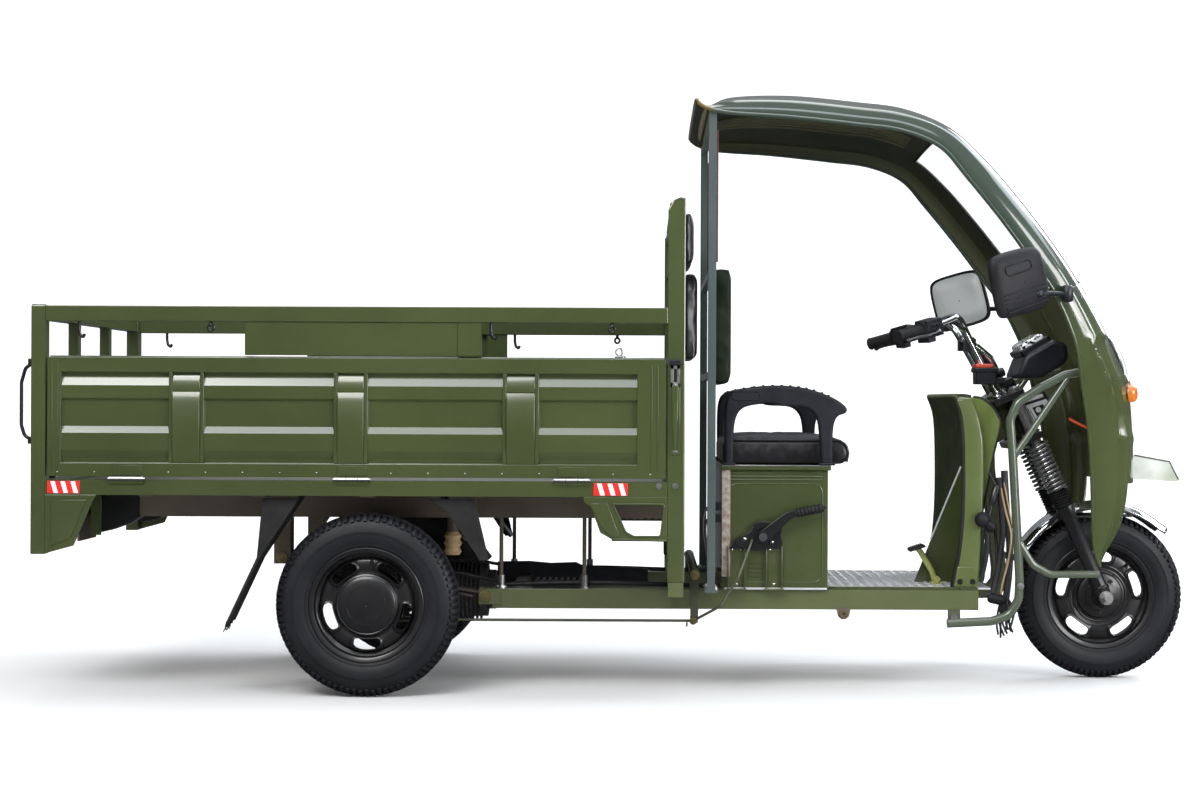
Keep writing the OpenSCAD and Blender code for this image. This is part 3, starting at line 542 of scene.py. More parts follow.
def rim_piece(name, c, w, body, old, turn, s, hub, win, nuts):
    """Pressed five-window disc with rolled window edges in a stepped rim; s is -1 when the open face looks to -Y."""
    h = w / 2
    b = Build()
    prof = []
    for sg in (-1, 1):
        half = [(0.1545, h - 0.0085), (0.1605, h - 0.0075), (0.1632, h - 0.0095), (0.1622, h - 0.0128), (0.1550, h - 0.0142), (0.1515, h - 0.018),
                (0.1500, h - 0.030), (0.1400, h - 0.036), (0.1385, 0.004)]
        prof += [(a, sg * o) for a, o in (half if sg < 0 else half[::-1])]
    inner = [(0.1345, 0.004), (0.1360, h - 0.037), (0.1450, h - 0.0305), (0.1465, h - 0.018), (0.1485, h - 0.0115)]
    prof += [(a, o) for a, o in inner[::-1]] + [(a, -o) for a, o in inner]
    b.lathe(prof, c, n=112)
    b.done(name, M_RIM, body, smooth=32, replaces=(old,))
    b = Build()
    # the disc, five sectors round five windows
    R0, R1, RW = hub[0][0] - 0.006, 0.1375, win

    def out(r):
        t = (r - R0) / (R1 - R0)
        y = 0.0165 + 0.006 * sin(pi * min(max(t, 0), 1)) + 0.006 * max(0, 1 - t * 5)
        if r > 0.128:
            y -= (r - 0.128) * 0.9
        return y
    nt_, nk = 48, 9
    for q in range(5):
        base = math.radians(turn + 72 * q)
        rows = []
        for k in range(nk + 3):
            row = []
            for t in range(nt_):
                g = 2 * pi * t / nt_
                cg, sg = cos(g), sin(g)
                m = max(abs(cg), abs(sg))
                ox, oy = cg / m, sg / m
                ro = RW + (R1 - RW if ox > 0 else RW - R0) * ox
                to = math.radians(36) * oy
                e = lambda v, p: (1 if v > 0 else -1 if v < 0 else 0) * abs(v) ** p
                wx, wy = (min(0.0190, 0.1360 - win) if cg > 0 else min(win - R0 - 0.011, 0.0175)) * e(cg, 0.66), 0.041 * e(sg, 0.66)
                rw, tw = RW + wx, wy / (RW + wx * 0.5)
                f = min(k, nk) / nk
                f = f ** 0.8
                rr, tt = ro + (rw - ro) * f, to + (tw - to) * f
                y = out(rr)
                # rolled lip round the window
                lip = max(0.0, (f - 0.72) / 0.28)
                y += 0.0075 * sin(pi * 0.5 * lip)
                if k > nk:
                    dd = (k - nk)
                    rr = RW + (rr - RW) * (1 - 0.035 * dd)
                    tt = tt * (1 - 0.02 * dd)
                    y -= 0.003 * dd * dd
                a = base + tt
                row.append((c[0] + rr * cos(a), c[1] + s * y, c[2] + rr * sin(a)))
            rows.append(row)
        b.grid(rows, close_v=True)
    # hub
    b.lathe([(p[0], s * p[1]) for p in hub], c, n=56, closed=False)
    o = b.done(name + "_face", M_RIM, body, smooth=32, weld=0.0004)
    sm = o.modifiers.new("thick", "SOLIDIFY")
    sm.thickness, sm.offset, sm.use_even_offset = 0.0026, 0.0, True
    # nuts and valve
    b = Build()
    if nuts:
        for k in range(5):
            a = math.radians(turn + 36 + 72 * k)
            p = V((c[0] + 0.0500 * cos(a), c[1] + s * 0.0330, c[2] + 0.0500 * sin(a)))
            b.bolt(p, (0, s, 0), 0.0060, 0.006)
        b.done(name + "_nuts", M_RIM, body, smooth=30)
    b = Build()
    a = math.radians(turn + 30)
    p = V((c[0] + 0.131 * cos(a), c[1] + s * 0.016, c[2] + 0.131 * sin(a)))
    q = p + V((-0.012 * cos(a), s * 0.022, -0.012 * sin(a)))
    b.sweep([p - V((0, s * 0.006, 0)), p + (q - p) * 0.3, q], [0.0055, 0.0045, 0.0032], 10)
    b.cyl(q, q + (q - p).normalized() * 0.008, 0.0042, 8)
    b.done(name + "_valve", M_RUBBER, body, smooth=35)
    return o


RA, RB = (-0.726, 0.475, 0.260), (-0.726, -0.475, 0.260)
FA = (1.452, 0.0, 0.252)
CAP = [(0.0900, 0.0130), (0.0885, 0.0230), (0.0860, 0.0275), (0.0830, 0.0290), (0.0815, 0.0282), (0.0790, 0.0300), (0.0700, 0.0330), (0.0560, 0.0345),
       (0.0550, 0.0334), (0.0535, 0.0346), (0.0380, 0.0360), (0.0200, 0.0372), (0.0060, 0.0376), (0.0005, 0.0376)]
FHUB = [(0.072, 0.013), (0.0705, 0.022), (0.0660, 0.0300), (0.0600, 0.0325), (0.0450, 0.0345), (0.0440, 0.0420), (0.0300, 0.0445), (0.0290, 0.0560), (0.0270, 0.0585), (0.0108, 0.0590)]
BHUB = [(0.060, -0.004), (0.0585, 0.030), (0.0560, 0.0440), (0.0400, 0.0500), (0.0260, 0.0540), (0.0156, 0.0545)]
BHUBF = [(0.060, -0.004), (0.0585, 0.028), (0.0540, 0.0440), (0.0400, 0.0480), (0.0300, 0.0500), (0.0290, 0.0570), (0.0108, 0.0590)]
tyre_piece("rear_tyre_right_tread", RB, 0.260, 0.108, "rear_wheel_right", "rear_tyre_right", 84, 1)
tyre_piece("rear_tyre_left_tread", RA, 0.260, 0.108, "rear_wheel_left", "rear_tyre_left", 84, 2)
tyre_piece("front_tyre_tread", FA, 0.252, 0.094, "front_wheel", "front_tyre", 82, 3)
rim_piece("rear_rim_right_disc", RB, 0.108, "rear_wheel_right", "rear_rim_right", 54, -1, CAP, 0.111, False)
rim_piece("rear_rim_left_disc", RA, 0.108, "rear_wheel_left", "rear_rim_left", 54, 1, CAP, 0.111, False)
rim_piece("front_rim_disc", FA, 0.094, "front_wheel", "front_rim", 18, -1, FHUB, 0.1185, True)
b = Build()
for r0 in (0.0925, 0.0800):
    b.lathe([(r0 + 0.0040, -0.0195), (r0 + 0.0024, -0.0246), (r0, -0.0255), (r0 - 0.0024, -0.0246), (r0 - 0.0040, -0.0195)], FA, n=96)
b.done("front_rim_beads", M_RIM, "front_wheel", smooth=40)
for nm, c, body, s, pr in (("rear_hub_right_back", RB, "rear_wheel_right", 1, BHUB), ("rear_hub_left_back", RA, "rear_wheel_left", -1, BHUB),
                           ("front_hub_back", FA, "front_wheel", 1, BHUBF)):
    b = Build()
    b.lathe([(p[0], s * p[1]) for p in pr], c, n=48, closed=False)
    o = b.done(nm, M_CAST, body, smooth=35)
    sm = o.modifiers.new("thick", "SOLIDIFY")
    sm.thickness, sm.offset = 0.003, 0.0


# ------------------------------------------------------------------ roof, pillars and cowl: one smooth section law
ST = np.array([
    [199, 1712, 202, 1700, 442], [236, 1698, 232, 1679, 446], [304, 1735, 300, 1664, 450], [475, 1744, 470, 1653, 451], [671, 1727, 660, 1633, 452],
    [813, 1708, 790, 1616, 450], [947, 1654, 900, 1570, 450], [1059, 1562, 978, 1483, 448], [1164, 1444, 1072, 1369, 446], [1264, 1317, 1160, 1252, 440],
    [1342, 1197, 1232, 1152, 434], [1435, 1039, 1295, 1015, 412], [1503, 894, 1322, 890, 384], [1523, 740, 1348, 757, 352], [1525, 604, 1362, 620, 328],
    [1499, 485, 1369, 498, 312], [1434, 396, 1377, 410, 302], [1402, 356, 1394, 360, 297]]) / 1000


def station(i):
    """Row of the table at a fractional index, smooth through the rows."""
    i = min(max(i, 0.0), 17.0)
    k = min(int(i), 16)
    t = i - k
    p = [ST[min(max(k + d, 0), 17)] for d in (-1, 0, 1, 2)]
    return 0.5 * (2 * p[1] + (p[2] - p[0]) * t + (2 * p[0] - 5 * p[1] + 4 * p[2] - p[3]) * t * t + (3 * p[1] - p[0] - 3 * p[2] + p[3]) * t ** 3)


def skin(i, a, t=0.0):
    """Point of the moulded skin; t goes inward. a = 0 is the right edge, 90 the middle, 180 the left edge."""
    st = station(i)
    c = st[:2].copy()
    d = np.array([0.7, 0.9]) - c
    c += t * d / np.linalg.norm(d)
    sa, ca = sin(math.radians(a)), cos(math.radians(a))
    f = max(sa, 0) ** (2 / 3)
    return V((st[2] + f * (c[0] - st[2]), -(st[4] - t) * (1 if ca > 0 else -1) * abs(ca) ** (2 / 3), st[3] + f * (c[1] - st[3])))


def angles(a0, a1, n):
    """Angles spaced so that the points sit evenly along the section."""
    fine = [a0 + (a1 - a0) * k / 400 for k in range(401)]
    pts = [skin(6, a) for a in fine]
    L = [0.0]
    for p, q in zip(pts, pts[1:]):
        L.append(L[-1] + (q - p).length)
    return [float(np.interp(L[-1] * k / n, L, fine)) for k in range(n + 1)]


def skin_piece(name, i0, i1, ni, al, mat, keep=None, thick=0.007, off=0.0, extra=None, replaces=(), bev=0.0, body="chassis"):
    """Sheet of the skin over stations and angles, thickened inward; keep drops cells; extra moves a point in along the normal."""
    rows = []
    for k in range(ni + 1):
        i = i0 + (i1 - i0) * k / ni
        row = []
        for a in al:
            t = off + (extra(i, a) if extra else 0.0)
            row.append(skin(i, a, t))
        rows.append(row)
    b = Build()
    c = len(al)
    faces = []
    for k in range(ni):
        for j in range(c - 1):
            i = i0 + (i1 - i0) * (k + 0.5) / ni
            if keep is None or keep(i, (al[j] + al[j + 1]) / 2):
                faces.append((k * c + j, k * c + j + 1, (k + 1) * c + j + 1, (k + 1) * c + j))
    b._add([p for r in rows for p in r], faces)
    loose = [v for v in b.bm.verts if not v.link_faces]
    bmesh.ops.delete(b.bm, geom=loose, context="VERTS")
    bm = b.bm
    bmesh.ops.recalc_face_normals(bm, faces=bm.faces)
    mid = V((0.7, 0, 0.9))
    tot = sum((f.normal.dot(f.calc_center_median() - mid)) * f.calc_area() for f in bm.faces)
    if tot < 0:
        bmesh.ops.reverse_faces(bm, faces=bm.faces)
    me = bpy.data.meshes.new(name)
    bm.to_mesh(me)
    bm.free()
    o = finish_obj(name, me, mat, body, smooth=40, replaces=replaces)
    s = o.modifiers.new("thick", "SOLIDIFY")
    s.thickness, s.offset, s.use_even_offset, s.use_rim = thick, -1.0, True, True
    if len(o.data.materials) > 1:
        s.material_offset, s.material_offset_rim = 1, 0
    bv = o.modifiers.new("edge", "BEVEL")
    bv.width, bv.segments, bv.limit_method, bv.angle_limit = 0.0018, 2, "ANGLE", math.radians(50)
    return o


def smooth01(x, a, b):
    t = min(max((x - a) / (b - a), 0.0), 1.0)
    return t * t * (3 - 2 * t)


def roof_extra(i, a):
    """Raised crown with two long flutes, and a side band stepped in above the lower edge."""
    e = min(a, 180 - a)
    t = 0.0
    if i < 6.4:
        w = smooth01(i, 0.7, 1.4) * (1 - smooth01(i, 4.8, 6.2))
        t -= 0.0008 * w * smooth01(e, 38, 50)
        t += 0.0010 * w * math.exp(-((e - 74) / 5) ** 2)
    # side band drawn by a shallow step above the lower edge
    t += 0.0045 * (1 - smooth01(e, 15, 19)) * (1 - smooth01(i, 6.8, 7.6)) * smooth01(i, 0.2, 0.8)
    return t


def cowl_extra(i, a):
    """Crease that runs down from the pillar root and round the lamp, with a dished nose panel."""
    e = min(a, 180 - a)
    t = 0.0
    line = 44 + 10 * smooth01(i, 10.0, 12.6)
    t += 0.009 * math.exp(-((e - line) / 1.6) ** 2) * smooth01(i, 10.1, 10.6) * (1 - smooth01(i, 13.1, 13.9))
    t += 0.013 * smooth01(e, line, line + 5) * smooth01(i, 10.3, 11.0) * (1 - smooth01(i, 13.0, 13.8))
    ridge = 11 + 8 * smooth01(i, 11.0, 12.6)
    run = smooth01(i, 10.92, 11.12) * (1 - smooth01(i, 12.5, 13.0))
    t -= 0.005 * math.exp(-((e - ridge) / 3.0) ** 2) * run
    t += 0.007 * smooth01(e, ridge + 1, ridge + 8) * (1 - smooth01(e, 40, 52)) * run
    t -= 0.004 * math.exp(-((i - 11.0) / 0.09) ** 2) * smooth01(e, 9, 14) * (1 - smooth01(e, 36, 44))
    t -= 0.004 * math.exp(-((i - 13.05) / 0.10) ** 2) * smooth01(e, 14, 20) * (1 - smooth01(e, 52, 60))
    t += 0.010 * smooth01(e, 19, 23) * (1 - smooth01(e, 25, 34)) * smooth01(i, 11.6, 12.6) * (1 - smooth01(i, 16.2, 16.9))
    # wheel-arch edge rolls inward
    if i > 14.2:
        t += 0.008 * smooth01(e, 33, 36)
    return t


M_ROOF_IN = paint("roof_lining", (0.016, 0.019, 0.008), (0.030, 0.033, 0.014), 0.52, 0.0, dust=0)


def roof_mat():
    """Glossy moulding: a cool grey-green on the upper faces that partly paints the sky's reflection, olive paint lower
    down, and a painted warm-gold glow where the lip turns at the rear, standing in for light thrown up under it.
    """
    m, nt, b = new_mat("roof_gloss")
    vec = coords(nt)
    sep = node(nt, "ShaderNodeSeparateXYZ")
    nt.links.new(vec, sep.inputs[0])
    base = ramp(nt, noise(nt, vec, 2.2, 5), [(0.3, (0.027, 0.040, 0.029)), (0.75, (0.042, 0.060, 0.046))])
    # painted light: warm gold over the rear lip, in place of light falling on its underside
    mr = node(nt, "ShaderNodeMapRange")
    mr.inputs["From Min"].default_value = 0.262
    mr.inputs["From Max"].default_value = 0.228
    nt.links.new(sep.outputs["X"], mr.inputs["Value"])
    lip_glow_mask = math_node(nt, "MULTIPLY", mr.outputs[0], math_node(nt, "ADD", math_node(nt, "MULTIPLY", noise(nt, vec, 20, 3), 0.6), 0.6))
    col = mix(nt, lip_glow_mask, base, (0.13, 0.085, 0.022))
    # above Z 1.24 the cool tint partly paints the sky's reflection; below Z 0.98 the olive paint of the cowl
    zr = node(nt, "ShaderNodeMapRange")
    zr.inputs["From Min"].default_value = 1.24
    zr.inputs["From Max"].default_value = 0.98
    nt.links.new(sep.outputs["Z"], zr.inputs["Value"])
    col = mix(nt, zr.outputs[0], col, ramp(nt, noise(nt, vec, 3, 4), [(0.3, (0.041, 0.053, 0.016)), (0.75, (0.061, 0.077, 0.027))]))
    nt.links.new(col, b.inputs["Base Color"])
    nt.links.new(math_node(nt, "ADD", math_node(nt, "MULTIPLY", noise(nt, vec, 8, 4), 0.1), 0.14), b.inputs["Roughness"])
    b.inputs["Coat Weight"].default_value = 0.9
    b.inputs["Coat Roughness"].default_value = 0.06
    bump(nt, b, noise(nt, vec, 480, 2), 0.03, 0.0005)
    return m


M_ROOF = roof_mat()
AL = angles(0, 180, 96)
PIL = 36.0
# make the pillar and arch edge fall on a grid line
AL = sorted(set([round(a, 5) for a in AL if abs(a - PIL) > 0.9 and abs(a - 180 + PIL) > 0.9] + [PIL, 180 - PIL]))
skin_piece("roof_canopy_shell", 0, 10, 90, AL, [M_ROOF, M_ROOF_IN], keep=lambda i, a: i < 6 or min(a, 180 - a) < PIL, extra=roof_extra, replaces=("roof_canopy",))
M_COWL_IN = paint("cowl_lining", (0.046, 0.052, 0.015), (0.080, 0.088, 0.032), 0.34, 0.6, dust=0.1)
ALC = sorted(set([round(a, 5) for a in angles(0, 180, 150) if abs(a - PIL) > 0.6 and abs(a - 180 + PIL) > 0.6] + [PIL, 180 - PIL]))
skin_piece("front_cowl_shell", 10, 17, 112, ALC, [M_ROOF, M_COWL_IN], keep=lambda i, a: i < 14 or min(a, 180 - a) < PIL, extra=cowl_extra, replaces=("front_cowl",))
ALW = [PIL + 0.5 + (180 - 2 * PIL - 1.0) * k / 40 for k in range(41)]
skin_piece("windscreen_sheet", 6.02, 9.98, 40, ALW, M_CLEAR, thick=0.004, off=0.002, replaces=("windscreen",))
# rubber seal round the screen
b = Build()
edge = [skin(6.02, a, 0.004) for a in ALW] + [skin(6.02 + 3.96 * k / 24, ALW[-1], 0.004) for k in range(1, 25)] + \
       [skin(9.98, a, 0.004) for a in ALW[::-1]][1:] + [skin(9.98 - 3.96 * k / 24, ALW[0], 0.004) for k in range(1, 24)]
b.sweep(edge, 0.0052, 8, closed=True)
b.done("windscreen_seal", M_RUBBER, "chassis")
# lining ribs under the roof, front to back, painted pale as highlight lines, and a rolled bead along the lower edges
b = Build()
for y in (-0.30, -0.26, -0.22, -0.18, -0.14, 0.14, 0.18, 0.22, 0.26, 0.30):
    pts = []
    for k in range(25):
        i = 1.2 + 4.4 * k / 24
        a = math.degrees(math.acos(min(1, abs(y / 0.45)) ** 1.5))
        a = a if y < 0 else 180 - a
        pts.append(skin(i, a, 0.0105))
    b.sweep(pts, 0.0058, 8)
# painted light: pale gold for the underside of the rear lip, as if lit from below
M_LIP_GLOW = paint("lip_painted_glow", (0.22, 0.19, 0.055), (0.40, 0.35, 0.13), 0.4, 0.3, dust=0)
# painted highlight: the ribs are lighter than the lining to show the lines of light under the roof
M_RIBS_HIGHLIGHT = paint("lining_ridge_highlight", (0.040, 0.040, 0.013), (0.085, 0.080, 0.027), 0.4, 0.3, dust=0)
M_EDGE_IN = paint("lining_edge", (0.030, 0.036, 0.010), (0.050, 0.056, 0.018), 0.45, 0.2, dust=0)
b.done("roof_ribs", M_RIBS_HIGHLIGHT, "chassis")
# olive margin inside the lower edges, and the inside of the rear lip painted pale gold as painted light thrown up under
# it
for a0, a1, nm in ((0.6, 15.0, "right"), (165.0, 179.4, "left")):
    skin_piece("roof_margin_" + nm, 0.3, 9.9, 70, [a0 + (a1 - a0) * k / 8 for k in range(9)], M_EDGE_IN, thick=0.002, off=0.0076, extra=roof_extra)
skin_piece("roof_lip_lining", 0.03, 0.95, 10, AL[1:-1], M_LIP_GLOW, thick=0.002, off=0.0076, extra=roof_extra)
b = Build()
for a in (0.0, 180.0):
    pts = [skin(0.15 + 9.8 * k / 70, a, 0.004) for k in range(71)]
    b.sweep(pts, 0.0062, 10)
b.sweep([skin(0.1, a, 0.003) for a in AL], 0.0070, 10)
b.done("roof_edge_bead", M_ROOF, "chassis")
b = Build()
for a in (0.0, 180.0):
    b.sweep([skin(10.05 + 6.9 * k / 60, a, 0.004) for k in range(61)], 0.0058, 10)
arch = [skin(17 - 3.0 * k / 30, PIL, 0.006) for k in range(31)] + [skin(14.0, PIL + (180 - 2 * PIL) * k / 40, 0.006) for k in range(1, 41)] + [skin(14 + 3.0 * k / 30, 180 - PIL, 0.006) for k in range(1, 31)]
b.sweep(arch, 0.0058, 10)
b.done("cowl_edge_bead", M_ROOF, "chassis")
# seam between pillar and cowl with its screws
b = Build()
for s in (1, -1):
    for a in (10, 24):
        aa = a if s > 0 else 180 - a
        p, q = skin(10.22, aa), skin(10.22, aa, 0.01)
        b.bolt(p, (p - q), 0.0036, 0.003)
b.done("cowl_screws", M_BLACK, "chassis", smooth=30)

# headlight: bezel, clear lens, bowl and bulb
cx = skin(11.5, 90)
nrm = (skin(11.5, 90) - skin(11.5, 90, 0.01)).normalized()
ALH = [68 + 44 * k / 28 for k in range(29)]
skin_piece("headlight_lens", 11.03, 11.97, 20, ALH, M_LENS, thick=0.004, off=-0.008, extra=lambda i, a: -0.006 * (1 - ((a - 90) / 22) ** 2) * (1 - ((i - 11.5) / 0.47) ** 2), replaces=("headlight",))
# the lamp's clear cover wraps round to both flanks
for a0, a1, nm in ((45.0, 67.5, "right"), (112.5, 135.0, "left")):
    skin_piece("headlight_wing_" + nm, 11.02, 11.80, 18, [a0 + (a1 - a0) * k / 18 for k in range(19)], M_COVER, thick=0.004, off=-0.006,
               extra=lambda i, a: -0.007 * (1 - ((i - 11.41) / 0.39) ** 2))
b = Build()
ring = [skin(11.03, a, -0.004) for a in ALH] + [skin(11.03 + 0.94 * k / 12, 112, -0.004) for k in range(1, 13)] + [skin(11.97, a, -0.004) for a in ALH[::-1]][1:] + [skin(11.97 - 0.94 * k / 12, 68, -0.004) for k in range(1, 12)]
b.sweep(ring, 0.0062, 10, closed=True)
b.done("headlight_bezel", M_CHROME, "chassis")
b = Build()
for s in (-1, 1):
    c0 = cx + V((0, s * 0.055, 0)) + nrm * 0.004
    side = V((0, 1, 0))
    up = nrm.cross(side).normalized()
    rows = []
    for k in range(9):
        rr, dd = 0.038 * (1 - (k / 8) ** 2 * 0.9), 0.001 * k
        rows.append([c0 + rr * (cos(2 * pi * j / 28) * side + sin(2 * pi * j / 28) * up) + nrm * (dd * 0.5) for j in range(28)])
    b.grid(rows, close_v=True)
    b.ball(c0 + nrm * 0.004, 0.008, 12, 8)
b.done("headlight_bowls", M_CHROME, "chassis")

# turn signals: amber oval lens on a black base, both flanks
for s, nm in ((1, "right"), (-1, "left")):
    p0, p1 = V((1.471, -0.2685 * s, 0.868)), V((1.500, -0.2795 * s, 0.870))
    d = (p1 - p0).normalized()
    q = p0 + d * 0.009
    b = Build()
    b.sweep([q, q + d * 0.012, q + d * 0.020, q + d * 0.025, q + d * 0.027], [0.0275, 0.0272, 0.0235, 0.0140, 0.002], 28)
    b.done("turn_signal_" + nm + "_lens", M_AMBER, "chassis", smooth=50, replaces=("turn_signals",) if s > 0 else ())
    b = Build()
    b.sweep([p0 - d * 0.002, p0 + d * 0.009, p0 + d * 0.0120], [0.0285, 0.0298, 0.0262], 28)
    b.done("turn_signal_" + nm + "_base", M_PLASTIC, "chassis", smooth=50)

# back of the round lamp inside the cowl, with its plug
b = Build()
lc = V((1.384, -0.125, 1.020))
b.sweep([lc, lc + V((0.010, 0, 0)), lc + V((0.026, 0, 0)), lc + V((0.034, 0, 0))], [0.014, 0.024, 0.026, 0.026], 28)
b.cyl(lc - V((0.008, 0, 0)), lc + V((0.002, 0, 0)), 0.009, 16)
b.box(1.408, 1.424, -0.150, -0.100, 1.004, 1.036)
b.done("lamp_back", M_PLASTIC, "chassis", smooth=40)
b = Build()
b.sweep(spline([(1.378, -0.125, 1.020), (1.384, -0.150, 0.985), (1.400, -0.200, 0.935), (1.412, -0.240, 0.890)], 8), 0.004, 8)
b.done("lamp_lead", M_WIRE, "chassis", smooth=60)
b = Build()
b.sweep(spline([(1.338, -0.120, 0.792), (1.362, -0.150, 0.776), (1.395, -0.185, 0.760), (1.425, -0.215, 0.756)], 8), 0.0042, 8)
b.done("cowl_lead_orange", M_WIRE_RED, "chassis", smooth=60)


# ------------------------------------------------------------------ steered parts
RK = math.radians(24)
SDIR, SFWD = V((-sin(RK), 0, cos(RK))), V((cos(RK), 0, sin(RK)))
AX0 = V(FA) - 0.045 * SFWD


def sp(s, d, y):
    """Point in the steering frame: s up the axis, d ahead of it, all in millimetres."""
    return AX0 + SDIR * (s / 1000) + SFWD * (d / 1000) + V((0, y / 1000, 0))


FD, FY = 45, 92
for sy in (-FY, FY):
    nm = "right" if sy < 0 else "left"
    # lower leg: lathe-like stepped casting
    b = Build()
    prof = [(-26, 19), (-24, 23), (20, 24), (24, 26), (34, 26), (38, 23), (262, 23), (268, 26.5), (300, 26.5), (304, 22), (306, 17.5)]
    b.sweep([sp(s, FD, sy) for s, r in prof], [r / 1000 for s, r in prof], 28)
    # axle lug
    b.cyl(sp(0, FD, sy - 25), sp(0, FD, sy + 25), 0.021, 24)
    b.done("fork_lower_" + nm, M_BLACK, "steering", smooth=35, replaces=("fork_legs",) if sy < 0 else ())
    # bellows
    b = Build()
    prof = []
    for k in range(13):
        prof.append((302 + k * 4.2, 29 if k % 2 else 24))
    b.sweep([sp(s, FD, sy) for s, r in prof], [r / 1000 for s, r in prof], 28)
    b.done("fork_bellows_" + nm, M_RUBBER, "steering", smooth=60)
    # upper tube with cap nut
    b = Build()
    b.sweep([sp(s, FD, sy) for s in (340, 686)], 0.0168, 24)
    b.sweep([sp(s, FD, sy) for s in (684, 690, 696)], [0.0165, 0.0165, 0.010], 6)
    b.done("fork_tube_" + nm, M_COIL, "steering", smooth=35)
    # coil
    b = Build()
    turns, n = 11.5, 20
    hel = []
    for k in range(int(turns * n) + 1):
        f = k / (turns * n)
        a = 2 * pi * k / n
        c = sp(352 + 157 * f, FD, sy)
        hel.append(c + 0.0280 * (cos(a) * SFWD + sin(a) * V((0, 1, 0))))
    b.sweep(hel, 0.0050, 8)
    b.done("fork_spring_" + nm, M_COIL, "steering", smooth=60, replaces=("fork_springs",) if sy < 0 else ())
dress("fork_clamps", M_BLACK, 0.003)
b = Build()
for s in (520, 660):
    for y in (-FY, FY):
        for d in (FD - 24, FD + 24):
            b.bolt(sp(s + 20, d, y * 0.72), SDIR, 0.0055, 0.005)
b.sweep([sp(s, 0, 0) for s in (679, 690, 700)], [0.020, 0.020, 0.012], 6)
b.done("clamp_bolts", M_STEEL, "steering", smooth=30)

# front axle: nuts, washers and thread stubs
b = Build()
for s in (-1, 1):
    p = V(FA) + V((0, s * 0.1165, 0))
    b.cyl(p, p + V((0, s * 0.003, 0)), 0.021, 24)
    b.cyl(p + V((0, s * 0.003, 0)), p + V((0, s * 0.0145, 0)), 0.0165, 6)
    b.cyl(p, p + V((0, s * 0.024, 0)), 0.0098, 16)
b.cyl(V(FA) - V((0, 0.118, 0)), V(FA) + V((0, 0.118, 0)), 0.0095, 20)
b.done("front_axle_nuts", M_STEEL, "steering", smooth=30, replaces=("front_axle",))

# mudguard: crowned blade with rolled edges, chrome outside and black inside
b = Build()
rows = []
for k in range(61):
    a = math.radians(45 + 102 * k / 60)
    row = []
    for j in range(25):
        y = -0.060 + 0.120 * j / 24
        e = abs(y) / 0.060
        rr = 0.287 - 0.016 * e ** 3 - (0.006 if e > 0.96 else 0) + 0.0018 * (1 - smooth01(abs(y), 0.010, 0.018))
        rr += 0.004 * smooth01(k, 57, 60) + 0.004 * (1 - smooth01(k, 0, 3))
        row.append((FA[0] + rr * cos(a), y, FA[2] + rr * sin(a)))
    rows.append(row)
b.grid(rows)
o = b.done("front_mudguard_blade", [M_CHROME, M_BLACK], "steering", smooth=50, replaces=("front_mudguard",))
sm = o.modifiers.new("thick", "SOLIDIFY")
sm.thickness, sm.offset, sm.material_offset, sm.material_offset_rim = 0.0022, 0.0, 1, 0
b = Build()
for s in (-1, 1):
    b.sweep(fillet([V((FA[0] + 0.262 * cos(math.radians(a)), s * 0.058, FA[2] + 0.262 * sin(math.radians(a)))) if k == 0 else sp(268, FD - 10, s * 70) for k, a in ((0, 70), (1, 0))], 0.02), 0.005, 10)
    b.sweep([V((FA[0] + 0.268 * cos(math.radians(128)), s * 0.057, FA[2] + 0.268 * sin(math.radians(128)))), sp(285, FD - 18, s * 72)], 0.005, 10)
    b.box(-0.014, 0.014, -0.006, 0.006, -0.006, 0.006, Matrix.Translation(sp(278, FD, s * 64)))
b.done("mudguard_stays", M_BLACK, "steering", smooth=40)

# handlebar: smooth bend on twin risers
BAR = [sp(683, 0, 55), V((1.015, 0.078, 1.080)), V((0.985, 0.170, 1.094)), V((0.905, 0.286, 1.062)), V((0.795, 0.368, 1.030))]
VB = (BAR[4] - BAR[3]).normalized()
b = Build()
for s in (-1, 1):
    path = fillet([V((p.x, s * p.y, p.z)) for p in BAR], 0.06, 8)
    b.sweep(path, 0.0108, 20)
b.cyl((1.040, -0.070, 1.030), (1.040, 0.070, 1.030), 0.0082, 18)
for y in (-55, 55):
    b.sweep([sp(680, 0, y), sp(688, 0, y), sp(691, 0, y)], [0.0150, 0.0150, 0.0120], 20)
    # second riser tube ahead of the first
    b.sweep([sp(681, 30, y * 0.8), sp(800, 26, y * 0.9), V((1.038, y * 0.00118, 1.032))], 0.0118, 16)
b.done("handlebar_tube", M_CHROME, "steering", smooth=50, replaces=("handlebar",))
b = Build()
for s in (-1, 1):
    q = V((1.046, s * 0.061, 1.016))
    b.box(-0.017, 0.017, -0.015, 0.015, -0.017, 0.017, Matrix.Translation(q))
    for d in (-0.011, 0.011):
        b.bolt(q + V((d, 0, 0.017)), (0, 0, 1), 0.004, 0.005)
b.done("riser_clamps", M_BLACK, "steering", smooth=30, bevel=0.002)


def flip(p, s):
    return V((p.x, s * p.y, p.z))


